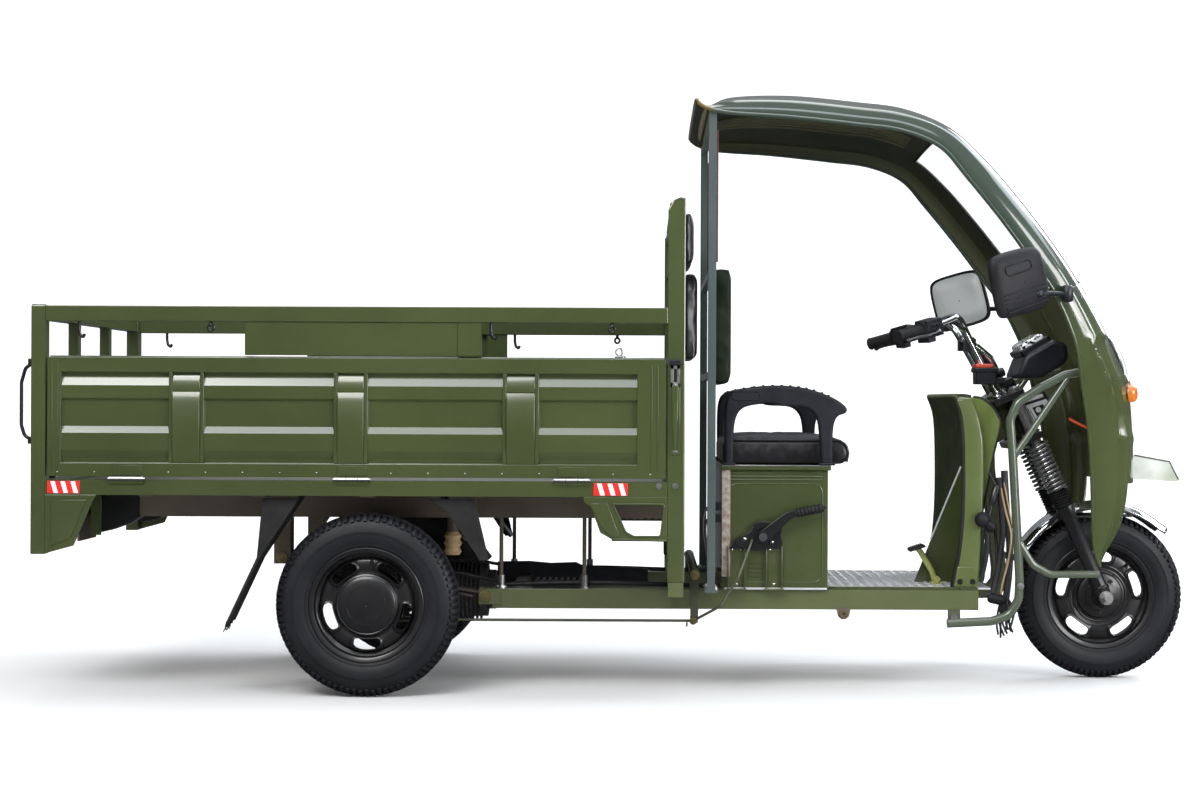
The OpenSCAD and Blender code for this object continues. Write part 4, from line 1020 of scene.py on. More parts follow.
# grips: ribbed rubber, a flange at the inner end, switch housings and levers
for s, nm in ((-1, "right"), (1, "left")):
    v = flip(VB, s)
    e3, e4 = flip(BAR[3], s), flip(BAR[4], s)
    L = (e4 - e3).length
    b = Build()
    prof = [(0.052, 0.0165), (0.053, 0.0265), (0.058, 0.0265), (0.060, 0.0180)]
    k = 0.062
    while k < L - 0.004:
        prof += [(k, 0.0172), (k + 0.0022, 0.0190), (k + 0.0050, 0.0190), (k + 0.0066, 0.0172)]
        k += 0.0076
    prof += [(L, 0.0190), (L + 0.004, 0.0205), (L + 0.008, 0.0185), (L + 0.0085, 0.004)]
    b.sweep([e3 + v * t for t, r in prof], [r for t, r in prof], 24)
    b.done("grip_" + nm, M_RUBBER, "steering", smooth=40, replaces=("hand_grips",) if s < 0 else ())
    b = Build()
    up = V((0, 0, 1))
    side = v.cross(up).normalized()
    up = side.cross(v).normalized()
    R = Matrix((side, v, up)).transposed().to_4x4()
    b.box(-0.026, 0.027, -0.040, 0.022, -0.026, 0.026, Matrix.Translation(e3 + v * 0.028) @ R)
    b.box(-0.018, 0.030, -0.012, 0.018, -0.040, -0.020, Matrix.Translation(e3 + v * 0.028) @ R)
    b.box(-0.029, -0.024, -0.022, 0.012, -0.012, 0.014, Matrix.Translation(e3 + v * 0.028) @ R)
    b.done("switch_housing_" + nm, M_PLASTIC, "steering", smooth=30, bevel=0.005, seg=3)
    b = Build()
    for j, (a, c2) in enumerate(((-0.014, 0.007), (0.003, -0.006), (0.004, 0.008))):
        b.box(-0.033, -0.027, a - 0.006, a + 0.006, c2 - 0.004, c2 + 0.004, Matrix.Translation(e3 + v * 0.026) @ R)
    b.done("switch_keys_" + nm, M_GREYPL, "steering", smooth=30, bevel=0.0012)
    # lever ahead of the grip
    b = Build()
    base = e3 + v * 0.020 + side * 0.030 * (1 if side.x > 0 else -1)
    fwd = V((1, 0, 0)) - v * v.x
    fwd = fwd.normalized()
    path = spline([e3 + v * 0.010 + fwd * 0.012, e3 + v * 0.022 + fwd * 0.040, e3 + v * 0.065 + fwd * 0.047, e3 + v * 0.115 + fwd * 0.040, e3 + v * 0.150 + fwd * 0.043], 6)
    b.sweep(path, [0.0075 if i < 8 else 0.0056 for i in range(len(path))], 12)
    b.ball(path[-1], 0.0085, 12, 8)
    b.done("brake_lever_" + nm, M_BLACK, "steering", smooth=50)

# instrument pod: bezel, hooded body, gauge window
b = Build()
outer = [(1.180, 0.914), (1.206, 0.985), (1.290, 1.034), (1.336, 1.020), (1.340, 0.966), (1.262, 0.916)]
b.prism(outer, -0.104, 0.104)
pod = b.done("instrument_pod_body", M_PLASTIC, "steering", bevel=0.016, seg=4, replaces=("instrument_pod",))
b = Build()
# window on the sloping rear face (the one toward the rider)
p0, p1 = V((1.2085, 0, 0.9935)), V((1.2815, 0, 1.0365))
ux = (p1 - p0).normalized()
nz = V((-ux.z, 0, ux.x))
M4 = Matrix((ux, V((0, 1, 0)), nz)).transposed().to_4x4()
Mw = Matrix.Translation((p0 + p1) / 2) @ M4
b.box(-0.046, 0.034, -0.080, 0.080, -0.006, 0.026, Mw)
b.done("gauge_window", M_GAUGE, "steering", smooth=30, bevel=0.012, seg=4)
b = Build()
for a in ((-0.056, -0.047, -0.092, 0.092), (0.035, 0.044, -0.092, 0.092), (-0.056, 0.044, -0.092, -0.081), (-0.056, 0.044, 0.081, 0.092)):
    b.box(a[0], a[1], a[2], a[3], -0.010, 0.0085, Mw)
b.done("gauge_bezel", M_PLASTIC, "steering", smooth=30, bevel=0.003)
b = Build()
M5 = Matrix((SFWD, V((0, 1, 0)), SDIR)).transposed().to_4x4()
b.box(0.024, 0.070, -0.036, 0.036, 0.6805, 0.712, Matrix.Translation(AX0) @ M5)
b.done("pod_bracket", M_BLACK, "steering", smooth=30, bevel=0.003)
# block with a red lid at the bar clamp, key switch beside it
b = Build()
b.box(1.060, 1.122, -0.098, -0.030, 0.895, 0.944)
b.box(1.055, 1.127, -0.102, -0.026, 0.931, 0.945)
b.box(1.100, 1.150, -0.092, -0.045, 0.897, 0.916)
b.cyl((1.095, -0.070, 0.914), (1.150, -0.060, 0.935), 0.014, 16)
b.done("fuse_block", M_PLASTIC, "steering", smooth=30, bevel=0.003)
b = Build()
b.box(1.057, 1.112, -0.100, -0.034, 0.945, 0.957)
b.done("fuse_lid", M_RED, "steering", smooth=30, bevel=0.003)
# horn: trumpet disc and strap
b = Build()
hc = sp(596, 66, 0)
prof = [(0, 12), (2, 20), (10, 24), (16, 30), (22, 39), (27, 40.5), (31, 39), (31.5, 32), (27, 30), (26, 12), (30, 10), (32, 2)]
b.sweep([hc + SFWD * (d / 1000) for d, r in prof], [r / 1000 for d, r in prof], 36)
b.done("horn_disc", M_CAST, "steering", smooth=35, replaces=("horn",))
b = Build()
b.box(0.0712, 0.0752, -0.012, 0.012, 0.520, 0.585, Matrix.Translation(AX0) @ M5)
b.bolt(sp(540, 75.2, 0), SFWD, 0.006, 0.005)
b.bolt(sp(596, 96, 0), SFWD, 0.006, 0.005)
b.done("horn_strap", M_STEEL, "steering", smooth=30)
# cables from the bar down to the fork head; they turn with it
b = Build()
for s, off in ((-1, 0.0), (1, 0.0)):
    e3 = flip(BAR[3], s)
    path = spline([e3 + flip(VB, s) * 0.01 + V((0, 0, 0.008)), V((0.955, 0.222 * s, 1.096)), V((1.012, 0.108 * s, 1.096)), V((1.060, 0.066 * s, 1.020)), sp(690, 36, 62 * s), sp(640, 42, 62 * s), sp(590, 52, 48 * s), sp(545, 42, 40 * s)], 8)
    b.sweep(path, 0.0036, 8)
    path = spline([e3 + V((0.014, -0.014 * s, -0.006)), V((0.962, 0.192 * s, 1.078)), V((1.024, 0.084 * s, 1.060)), V((1.066, 0.050 * s, 0.998)), sp(680, 44, 46 * s), sp(610, 46, 44 * s), sp(560, 50, 30 * s), sp(530, 38, 20 * s)], 8)
    b.sweep(path, 0.0046, 8)
b.done("bar_cables", M_WIRE, "steering", smooth=60)

# wire bundles behind the pod and round the head
b = Build()
rg = random.Random(11)
for k in range(9):
    y = -60 + 15 * k
    b.sweep(spline([sp(690, 44 + rg.uniform(-8, 8), y), sp(655, 60 + rg.uniform(-6, 10), y * 0.9), sp(620, 58 + rg.uniform(-8, 8), y * 0.7 + rg.uniform(-6, 6)), sp(585, 46 + rg.uniform(-6, 6), y * 0.6)], 6), rg.choice((0.0028, 0.0036, 0.0044)), 7)
b.done("head_wires", M_WIRE, "steering", smooth=60)
b = Build()
b.box(0.020, 0.064, -0.060, 0.060, 0.700, 0.722, Matrix.Translation(AX0) @ M5)
b.done("pod_cradle", M_BLACK, "steering", smooth=30, bevel=0.004, seg=3)
# horn trumpet box on the near side of the horn: black housing round a bright trapezoid mouth
b = Build()
b.prism([(1.1935, 0.8555), (1.2670, 0.8820), (1.2960, 0.8290), (1.2400, 0.7620), (1.2220, 0.7660)], -0.0760, -0.0360)
b.done("horn_box", M_PLASTIC, "steering", smooth=30, bevel=0.004, seg=3)
b = Build()
b.prism([(1.2055, 0.8290), (1.2760, 0.8520), (1.2870, 0.8310), (1.2360, 0.7720)], -0.0800, -0.0755)
b.prism([(1.2080, 0.8480), (1.2640, 0.8680), (1.2690, 0.8580), (1.2110, 0.8390)], -0.0775, -0.0755)
b.done("horn_mouth", M_SILVER, "steering", smooth=30, bevel=0.002, seg=2)
b = Build()
b.prism([(1.2330, 0.8250), (1.2660, 0.8360), (1.2720, 0.8250), (1.2480, 0.7980)], -0.0812, -0.0795)
for k in range(3):
    b.sweep([(1.2120 + 0.0075 * k, -0.0802, 0.8270 - 0.0040 * k), (1.2340 + 0.0045 * k, -0.0802, 0.7790 + 0.0050 * k)], 0.0012, 6)
b.done("horn_slots", M_BLACK, "steering", smooth=40, bevel=0.0004)
b = Build()
b.cyl((1.2520, -0.0806, 0.8190), (1.2520, -0.0840, 0.8190), 0.0085, 20)
b.done("horn_boss", M_SILVER, "steering", smooth=40, bevel=0.001)


# ------------------------------------------------------------------ soft pieces
def evaluated_mesh(o):
    dg = bpy.context.evaluated_depsgraph_get()
    dg.update()
    return bpy.data.meshes.new_from_object(o.evaluated_get(dg))


def pad_piece(name, build, body, mat, voxel, cap, pin, replaces=(), pressure=4.0, shrink=-0.02):
    """Foam pad: a cloth skin blown up over its seams, its movement capped so that it keeps its place."""
    bm = build.bm
    bmesh.ops.recalc_face_normals(bm, faces=bm.faces)
    me = bpy.data.meshes.new(name)
    bm.to_mesh(me)
    bm.free()
    o = bpy.data.objects.new(name, me)
    SC.collection.objects.link(o)
    r = o.modifiers.new("remesh", "REMESH")
    r.mode, r.voxel_size, r.use_smooth_shade = "VOXEL", voxel, True
    me2 = evaluated_mesh(o)
    o.modifiers.clear()
    o.data = me2
    rest = np.array([v.co[:] for v in me2.vertices])
    g = o.vertex_groups.new(name="pin")
    for i, v in enumerate(rest):
        w = pin(*v)
        if w > 0:
            g.add([i], w, "REPLACE")
    c = o.modifiers.new("cloth", "CLOTH")
    c.settings.quality = 4
    c.settings.mass = 0.25
    c.settings.tension_stiffness = c.settings.compression_stiffness = 12
    c.settings.bending_stiffness = 0.6
    c.settings.use_pressure = True
    c.settings.uniform_pressure_force = pressure
    c.settings.effector_weights.gravity = 0
    c.settings.vertex_group_mass = "pin"
    c.settings.shrink_min = shrink
    c.collision_settings.use_collision = False
    c.point_cache.frame_start, c.point_cache.frame_end = 1, 20
    for f in range(1, 21):
        SC.frame_set(f)
    me3 = evaluated_mesh(o)
    now = np.array([v.co[:] for v in me3.vertices])
    d = now - rest
    L = np.linalg.norm(d, axis=1, keepdims=True)
    now = rest + d * np.minimum(1.0, cap / np.maximum(L, 1e-9))
    me3.vertices.foreach_set("co", now.ravel())
    o.modifiers.clear()
    o.vertex_groups.clear()
    o.data = me3
    SC.frame_set(1)
    o.data.materials.clear()
    o.data.materials.append(mat)
    o.data.shade_smooth()
    sm = o.modifiers.new("relax", "SMOOTH")
    sm.factor, sm.iterations = 0.5, 3
    s = o.modifiers.new("sub", "SUBSURF")
    s.levels = s.render_levels = 1
    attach(o, body)
    if replaces:
        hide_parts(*replaces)
    return o


def near(v, lines, r):
    return 1.0 if any(abs(v - l) < r for l in lines) else 0.0


# seat: one bench, piped round the top, two stitched channels
b = Build()
b.prism([(0.287, 0.657), (0.636, 0.657), (0.652, 0.668), (0.655, 0.690), (0.648, 0.714), (0.628, 0.727), (0.300, 0.727), (0.287, 0.718)], -0.286, 0.286)
pad_piece("seat_cushion_pad", b, "chassis", M_VINYL, 0.0075, 0.024,
          lambda x, y, z: max(1.0 if z < 0.662 else 0.0, near(abs(y), (0.096,), 0.004) * (z > 0.722), near(abs(y), (0.286,), 0.004) * (z > 0.716), 1.0 if x < 0.291 else 0.0),
          replaces=("seat_cushion",), pressure=5.0)
b = Build()
for s in (-1, 1):
    b.sweep(fillet([(0.292, s * 0.285, 0.716), (0.300, s * 0.286, 0.727), (0.628, s * 0.286, 0.727), (0.649, s * 0.286, 0.713), (0.655, s * 0.286, 0.690), (0.650, s * 0.286, 0.664)], 0.02), 0.0042, 10)
b.done("seat_piping", M_VINYL, "chassis", smooth=60)
# headboard cushions and back pad
b = Build()
for x1, z0, z1 in ((0.194, 1.248, 1.400), (0.205, 0.966, 1.219)):
    b.box(0.176, x1, -0.218, 0.218, z0, z1)
pad_piece("headboard_pads", b, "chassis", M_VINYL, 0.0075, 0.008,
          lambda x, y, z: max(1.0 if x < 0.180 else 0.0, near(y, (-0.073, 0.073), 0.004) * (x > (0.189 if z > 1.23 else 0.200))), replaces=("headboard_cushions",), pressure=3.0)
b = Build()
b.box(0.264, 0.308, -0.203, 0.203, 0.893, 1.234)
pad_piece("back_pad_cover", b, "chassis", M_FACE, 0.0075, 0.006,
          lambda x, y, z: max(1.0 if x < 0.267 else 0.0, near(z, (0.900, 1.227), 0.004) * (x > 0.300)), replaces=("back_pad",), pressure=2.5)

# ------------------------------------------------------------------ armrests
ARM = [(292, 655), (316, 655), (316, 760), (326, 806), (352, 828), (430, 836), (452, 826), (520, 826), (548, 812), (566, 780), (572, 655), (606, 655), (604, 760),
       (616, 800), (644, 806), (648, 824), (610, 852), (540, 878), (470, 888), (390, 886), (318, 872), (296, 850), (290, 800)]
apts = [V((x / 1000, 0, z / 1000)) for x, z in ARM]
sm_pts = []
for i in range(len(apts)):
    a, p, c = apts[i - 1], apts[i], apts[(i + 1) % len(apts)]
    if i in (0, 1, 10, 11):
        sm_pts.append(p)
        continue
    for t in (0.0, 0.25, 0.5, 0.75, 1.0):
        sm_pts.append((1 - t) ** 2 * (p + (a - p) * 0.45) + 2 * t * (1 - t) * p + t * t * (p + (c - p) * 0.45))
for s, nm in ((-1, "right"), (1, "left")):
    b = Build()
    b.prism([(p.x, p.z) for p in sm_pts], s * 0.292, s * 0.342)
    o = b.done("armrest_" + nm, M_ARM, "chassis", bevel=0.009, seg=4, replaces=("armrests",) if s < 0 else ())
    b = Build()
    top = spline([V((0.318, 0, 0.870)), V((0.390, 0, 0.8845)), V((0.470, 0, 0.8865)), V((0.540, 0, 0.8770)), V((0.600, 0, 0.8560))], 6)
    for k in range(1, len(top), 2):
        for y in (0.305, 0.329):
            b.ball(top[k] + V((0, s * y, 0.0)), 0.0040, 10, 6, scale=(1, 1, 0.7))
    slot = [V((0.353 + cx + 0.0125 * cos(a), s * 0.3425, 0.857 + 0.0125 * sin(a))) for cx, a0 in ((0.029, -90), (-0.029, 90)) for a in [math.radians(a0 + 22.5 * k) for k in range(9)]]
    b.sweep(slot, 0.0022, 8, closed=True)
    b.done("armrest_studs_" + nm, M_ARM, "chassis", smooth=50)
    b = Build()
    for x0, x1 in ((0.286, 0.322), (0.566, 0.612)):
        b.box(x0, x1, s * 0.288, s * 0.346, 0.655, 0.662)
    b.done("armrest_feet_" + nm, M_PLASTIC, "chassis", smooth=30, bevel=0.002)

# ------------------------------------------------------------------ seat box, lid, connectors
dress("seat_box", M_OLIVE, 0.003)
dress("seat_lid", M_OLIVE, 0.004)
dress("battery_pack", M_PLASTIC, 0.004)
for s in (-1, 1):
    nm = "right" if s < 0 else "left"
    b = Build()
    Y = s * 0.330
    # pressed frame with rounded corners, ridges under the lid and louvres low down
    b.sweep(fillet([(0.300, Y, 0.314), (0.576, Y, 0.314), (0.576, Y, 0.600), (0.300, Y, 0.600), (0.300, Y, 0.314)], 0.030, 6), 0.0022, 8)
    for z in (0.612, 0.622, 0.632):
        b.sweep([(0.300, Y, z), (0.578, Y, z)], 0.0026, 8)
    for k in range(4):
        z = 0.326 + 0.013 * k
        b.prism([(Y, z), (Y + s * 0.0008, z), (Y + s * 0.0050, z + 0.0090), (Y + s * 0.0044, z + 0.0096), (Y, z + 0.0096)], 0.364, 0.402, axis="x")
    b.done("seat_box_pressing_" + nm, M_OLIVE, "chassis", smooth=30, bevel=0.0012)
    # painted highlight: a thin bright strip along the foot of each side draws the line of light at the box's bottom
    # edge
    b = Build()
    b.box(0.292, 0.590, s * 0.3305, s * 0.3335, 0.2925, 0.2985)
    b.done("seat_box_foot_highlight_" + nm, M_ALU, "chassis", smooth=30, bevel=0.0008)
    b = Build()
    b.box(0.285, 0.600, s * 0.342, s * 0.3436, 0.6515, 0.6555)
    b.done("seat_lid_trim_" + nm, M_STEEL, "chassis", smooth=30, bevel=0.0006)
b = Build()
b.box(0.286, 0.308, -0.3345, -0.330, 0.330, 0.640)
b.box(0.2835, 0.2865, -0.3365, -0.320, 0.330, 0.640)
b.done("seat_box_strip", M_STRIP, "chassis", smooth=30, bevel=0.001)
b = Build()
for z in (0.50, 0.535):
    b.box(0.258, 0.283, -0.338, -0.312, z - 0.012, z + 0.012)
    b.box(0.248, 0.260, -0.334, -0.316, z - 0.009, z + 0.009)
b.done("connectors", M_PLASTIC, "chassis", smooth=30, bevel=0.002)
b = Build()
b.sweep(spline([(0.250, -0.325, 0.535), (0.232, -0.330, 0.515), (0.228, -0.345, 0.460), (0.236, -0.338, 0.400), (0.246, -0.315, 0.320), (0.248, -0.300, 0.294)], 8), 0.0048, 8)
b.sweep(spline([(0.250, -0.325, 0.500), (0.236, -0.322, 0.480), (0.240, -0.322, 0.410), (0.258, -0.312, 0.340), (0.262, -0.300, 0.294)], 8), 0.0042, 8)
b.done("connector_leads", M_WIRE, "chassis", smooth=60)

# ------------------------------------------------------------------ hand brake
Y0 = -0.330
b = Build()
for x0, x1 in ((0.300, 0.352), (0.411, 0.460)):
    b.box(x0, x1, Y0 - 0.003, Y0 - 0.0005, 0.294, 0.420)
    for e in (x0, x1 - 0.004):
        b.box(e, e + 0.004, Y0 - 0.014, Y0 - 0.0005, 0.294, 0.420)
    b.box(x0 - 0.004, x1 + 0.004, Y0 - 0.022, Y0 - 0.0005, 0.2915, 0.2965)
b.done("hand_brake_feet", M_OLIVE, "chassis", smooth=30, bevel=0.0012, replaces=("hand_brake",))
b = Build()
b.prism([(0.313, 0.435), (0.366, 0.461), (0.383, 0.487), (0.457, 0.492), (0.457, 0.461), (0.440, 0.418), (0.379, 0.405), (0.335, 0.418)], Y0 - 0.0175, Y0 - 0.0135)
b.prism([(0.300, 0.412), (0.352, 0.412), (0.372, 0.424), (0.411, 0.412), (0.460, 0.412), (0.454, 0.470), (0.384, 0.470), (0.350, 0.448)], Y0 - 0.0130, Y0 - 0.006)
# toothed sector
teeth = []
for k in range(31):
    a = math.radians(20 + 110 * k / 30)
    r = 0.050 if k % 2 else 0.0445
    teeth.append((0.402 + r * cos(a), 0.446 + r * sin(a)))
teeth += [(0.402 + 0.026 * cos(math.radians(130 - 110 * k / 8)), 0.446 + 0.026 * sin(math.radians(130 - 110 * k / 8))) for k in range(9)]
b.prism(teeth, Y0 - 0.0225, Y0 - 0.0180)
b.cyl((0.402, Y0 - 0.038, 0.448), (0.402, Y0 - 0.004, 0.448), 0.0115, 20)
b.done("hand_brake_sector", M_BLACK, "chassis", smooth=35, bevel=0.0008)
b = Build()
b.bolt((0.402, Y0 - 0.038, 0.448), (0, -1, 0), 0.0080, 0.005)
for x, z in ((0.312, 0.408), (0.340, 0.408), (0.422, 0.408), (0.449, 0.408), (0.326, 0.308), (0.436, 0.308)):
    b.ball((x, Y0 - 0.0035, z), 0.0052, 12, 6, scale=(1, 0.6, 1))
for x, z in ((0.350, 0.440), (0.440, 0.474), (0.428, 0.432)):
    b.ball((x, Y0 - 0.0178, z), 0.0058, 12, 6, scale=(1, 0.6, 1))
b.done("hand_brake_rivets", M_CHROME, "chassis", smooth=50)
b = Build()
ly = Y0 - 0.030
arm = [(0.386, 0.432), (0.410, 0.430), (0.480, 0.498), (0.500, 0.510), (0.494, 0.526), (0.466, 0.518), (0.392, 0.462)]
b.prism(arm, ly - 0.008, ly - 0.004)
b.prism(arm, ly + 0.004, ly + 0.008)
b.sweep([(0.470, ly, 0.506), (0.500, ly, 0.518), (0.560, ly, 0.530)], 0.0075, 14)
b.done("hand_brake_lever", M_BLACK, "chassis", smooth=30, bevel=0.0015)
b = Build()
g0, g1 = V((0.494, ly, 0.517)), V((0.578, ly, 0.5335))
prof = [(0.0, 0.0085), (0.01, 0.0130)]
for k in range(7):
    t = 0.06 + k * 0.125
    prof += [(t, 0.0118), (t + 0.03, 0.0140), (t + 0.085, 0.0140), (t + 0.115, 0.0118)]
prof += [(0.95, 0.0128), (0.985, 0.011), (1.0, 0.006)]
b.sweep([g0 + (g1 - g0) * t for t, r in prof], [r for t, r in prof], 20)
b.cyl(g1 - (g1 - g0) * 0.02, g1 + (g1 - g0) * 0.08, 0.0045, 12)
b.done("hand_brake_grip", M_RUBBER, "chassis", smooth=40)
# linkage and clevis
dress("brake_linkage", M_LINK, 0.0012, 1)
b = Build()
for s in (-1, 1):
    q = V((0.204, s * 0.386, 0.341))
    b.bolt(q + V((0, s * 0.020 if s < 0 else 0, 0)), (0, s, 0), 0.009, 0.008)
    b.bolt((0.200, s * 0.386, 0.206), (0, s, 0), 0.007, 0.008)
    for a in (-1, 1):
        b.ball((0.188 + 0.006 * a, s * 0.376, 0.206 + 0.010 * a), 0.006, 10, 6, scale=(0.5, 0.6, 1.4))
b.done("linkage_nuts", M_BRASS, "chassis", smooth=35)
b = Build()
for s in (-1, 1):
    b.prism([(0.618, 0.240), (0.662, 0.240), (0.656, 0.214), (0.646, 0.206), (0.634, 0.206), (0.624, 0.214)], s * 0.318, s * 0.3225)
b.done("rail_eye_plate", M_UNDER, "chassis", smooth=30, bevel=0.001)
b = Build()
for s in (-1, 1):
    b.lathe([(0.0045, -0.006), (0.0105, -0.006), (0.0105, 0.006), (0.0045, 0.006)], (0.640, s * 0.3205, 0.2215), n=24)
b.done("rail_eye", M_BRASS, "chassis", smooth=35)

# ------------------------------------------------------------------ footboard: checker plate
b = Build()
b.box(0.596, 1.075, -0.290, 0.290, 0.291, 0.2965)
o = b.done("footboard_sheet", M_ALU, "chassis", smooth=30, bevel=0.0015, replaces=("footboard",))
b = Build()
for i in range(16):
    for j in range(20):
        x, y = 0.614 + i * 0.0292, -0.275 + j * 0.0290
        if x > 1.035 and abs(y) < 0.28:
            continue
        a = pi / 4 if (i + j) % 2 else -pi / 4
        Mx = Matrix.Translation((x, y, 0.2964)) @ Matrix.Rotation(a, 4, "Z")
        pr = [(-0.0115, 0), (-0.006, 0.0032), (0, 0.0038), (0.006, 0.0032), (0.0115, 0), (0.006, -0.0032), (0, -0.0038), (-0.006, -0.0032)]
        lo = [Mx @ V((p[0], p[1], 0)) for p in pr]
        hi = [Mx @ V((p[0] * 0.8, p[1] * 0.6, 0.0017)) for p in pr]
        b._add(lo + hi, [tuple(range(8, 16))] + [(k, (k + 1) % 8, 8 + (k + 1) % 8, 8 + k) for k in range(8)] + [tuple(range(7, -1, -1))])
b.done("footboard_lugs", M_ALU, "chassis", smooth=30)
b = Build()
for s in (-1, 1):
    b.box(0.598, 1.036, s * 0.287, s * 0.2925, 0.262, 0.2985)
    b.box(0.985, 1.036, s * 0.2925, s * 0.3005, 0.246, 0.2985)
    for x in (0.63, 0.75, 0.87, 0.99):
        b.bolt((x, s * 0.2925, 0.276), (0, s, 0), 0.005, 0.004)
b.done("footboard_edge", M_OLIVE, "chassis", smooth=30, bevel=0.001)

# ------------------------------------------------------------------ leg shield, pedal
M_SHIELD = paint("shield_olive", (0.072, 0.094, 0.027), (0.112, 0.140, 0.046), 0.22, 0.9, dust=0.1)
M_FIN = paint("shield_fin", (0.080, 0.112, 0.026), (0.128, 0.168, 0.046), 0.24, 0.7, dust=0.1)
# painted shade: the wings are near black, far darker than the shield's olive, in place of the shade inside the V
M_SHIELD_SHADE = solid("shield_inner_painted_shade", (0.012, 0.016, 0.006), (0.028, 0.034, 0.012), 0.75, 0.0, 9, spec=0.15)
WA = math.radians(9)


def wing(x, y, z, s):
    """Point of a shield wing: swung about its outer edge so that the two meet in a shallow V."""
    return V((0.980 + (x - 0.980) * cos(WA) - y * sin(WA), s * (0.280 + (x - 0.980) * sin(WA) + y * cos(WA)), z))


def at_height(curve, z):
    """X of a rising curve where it passes height z."""
    for p, q in zip(curve, curve[1:]):
        if p.z <= z <= q.z and q.z > p.z:
            return p.x + (q.x - p.x) * (z - p.z) / (q.z - p.z)
    return curve[0].x if z < curve[0].z else curve[-1].x


def lean(z):
    """How far the shield flange leans in toward its top."""
    return 0.024 * (max(0.0, z - 0.715) / 0.142) ** 2


def on_curve(pts, n):
    return spline([V((x, 0, z)) for x, z in pts], n)


for s, nm in ((-1, "right"), (1, "left")):
    back = on_curve([(0.960, 0.298), (0.979, 0.390), (0.990, 0.500), (0.992, 0.650), (0.986, 0.790), (0.965, 0.857)], 7)
    b = Build()
    rows = []
    for p in back:
        row = []
        for k in range(25):
            y = -0.2835 + 0.2835 * k / 24
            # a long shallow dish in each wing and a step at the knee
            d = 0.010 * smooth01(-y, 0.035, 0.075) * (1 - smooth01(-y, 0.205, 0.245)) * smooth01(p.z, 0.36, 0.40) * (1 - smooth01(p.z, 0.77, 0.81))
            row.append(wing(p.x + d, y, p.z, s))
        rows.append(row)
    b.grid(rows if s < 0 else [r[::-1] for r in rows])
    o = b.done("leg_shield_wing_" + nm, M_SHIELD_SHADE, "chassis", smooth=50, replaces=("leg_shield",) if s < 0 else ())
    sm = o.modifiers.new("thick", "SOLIDIFY")
    sm.thickness, sm.offset = 0.007, 0.0
    # side flange and the fin ahead of it
    fl = on_curve([(0.966, 0.298), (0.983, 0.390), (0.994, 0.500), (0.996, 0.650), (0.990, 0.790), (0.969, 0.857)], 5)
    fr = on_curve([(1.019, 0.857), (1.038, 0.800), (1.052, 0.716), (1.052, 0.560), (1.044, 0.407), (1.038, 0.298)], 5)
    b = Build()
    rows = []
    for k in range(41):
        z = 0.299 + 0.558 * k / 40
        xa, xb = at_height(fl, z), at_height(fr[::-1], z)
        rows.append([V((xa + (xb - xa) * j / 10, s * (0.2790 - lean(z) + 0.0030 * sin(pi * j / 10)), z)) for j in range(11)])
    b.grid(rows if s > 0 else [r[::-1] for r in rows])
    o = b.done("leg_shield_flange_" + nm, M_SHIELD, "chassis", smooth=50)
    sm = o.modifiers.new("thick", "SOLIDIFY")
    sm.thickness, sm.offset = 0.006, 0.0
    fo = on_curve([(1.015, 0.856), (1.050, 0.852), (1.080, 0.830), (1.100, 0.800), (1.106, 0.772), (1.085, 0.680), (1.060, 0.550), (1.042, 0.450)], 5)
    b = Build()
    b.prism([(p.x, p.z) for p in fo] + [(1.041, 0.500), (1.046, 0.716)], s * 0.2480, s * 0.2552)
    b.done("leg_shield_fin_" + nm, M_FIN, "chassis", smooth=40, bevel=0.0024, seg=3)
    b = Build()
    b.sweep([V((p.x - 0.001, s * (0.2790 - lean(p.z)), p.z)) for p in fl], 0.0060, 10)
    b.sweep(spline([(0.969, s * (0.279 - lean(0.857)), 0.857), (0.992, s * (0.279 - lean(0.857)), 0.8605), (1.019, s * (0.279 - lean(0.857)), 0.857)], 5), 0.0055, 10)
    b.sweep([V((p.x, s * 0.2516, p.z)) for p in fo[2:]], 0.0046, 8)
    b.done("leg_shield_edging_" + nm, M_RUBBER, "chassis", smooth=60)
    # foot block with its bolts
    b = Build()
    b.prism([(0.966, 0.2985), (1.034, 0.2985), (1.036, 0.352), (1.026, 0.358), (0.978, 0.358)], s * 0.262, s * 0.2855)
    b.done("leg_shield_foot_" + nm, M_SHIELD, "chassis", smooth=30, bevel=0.002)
    b = Build()
    for x in (0.985, 1.022):
        b.bolt((x, s * 0.2855, 0.314), (0, s, 0), 0.0052, 0.004)
    b.done("leg_shield_bolts_" + nm, M_BLACK, "chassis", smooth=30)
b = Build()
b.sweep(spline([wing(0.968, -0.002, 0.8585, -1), wing(0.968, -0.140, 0.8595, -1), V((1.014, 0.0, 0.8600)), wing(0.968, -0.140, 0.8595, 1), wing(0.968, -0.002, 0.8585, 1)], 8), 0.0072, 10)
b.sweep([V((1.0245, 0, 0.300)), V((1.0365, 0, 0.500)), V((1.0365, 0, 0.790)), V((1.0160, 0, 0.856))], 0.0050, 10)
b.done("leg_shield_bead", M_SHIELD, "chassis", smooth=60)
b = Build()
b.sweep(spline([(0.932, -0.150, 0.296), (0.922, -0.150, 0.330), (0.904, -0.150, 0.362), (0.886, -0.150, 0.392), (0.876, -0.150, 0.403)], 8), 0.0088, 14)
b.box(0.916, 0.950, -0.170, -0.130, 0.2965, 0.3025)
b.cyl((0.934, -0.172, 0.310), (0.934, -0.128, 0.310), 0.0100, 18)
b.done("brake_pedal_arm", M_PEDAL, "chassis", smooth=45, bevel=0.001, replaces=("brake_pedal",))
b = Build()
Mp = Matrix.Translation((0.874, -0.150, 0.404)) @ Matrix.Rotation(math.radians(-18), 4, "Y")
b.box(-0.024, 0.024, -0.034, 0.034, -0.004, 0.003, Mp)
for k in range(7):
    b.box(-0.0205 + k * 0.006, -0.0170 + k * 0.006, -0.031, 0.031, 0.003, 0.0065, Mp)
b.done("pedal_rubber", M_RUBBER, "chassis", smooth=30, bevel=0.0008)
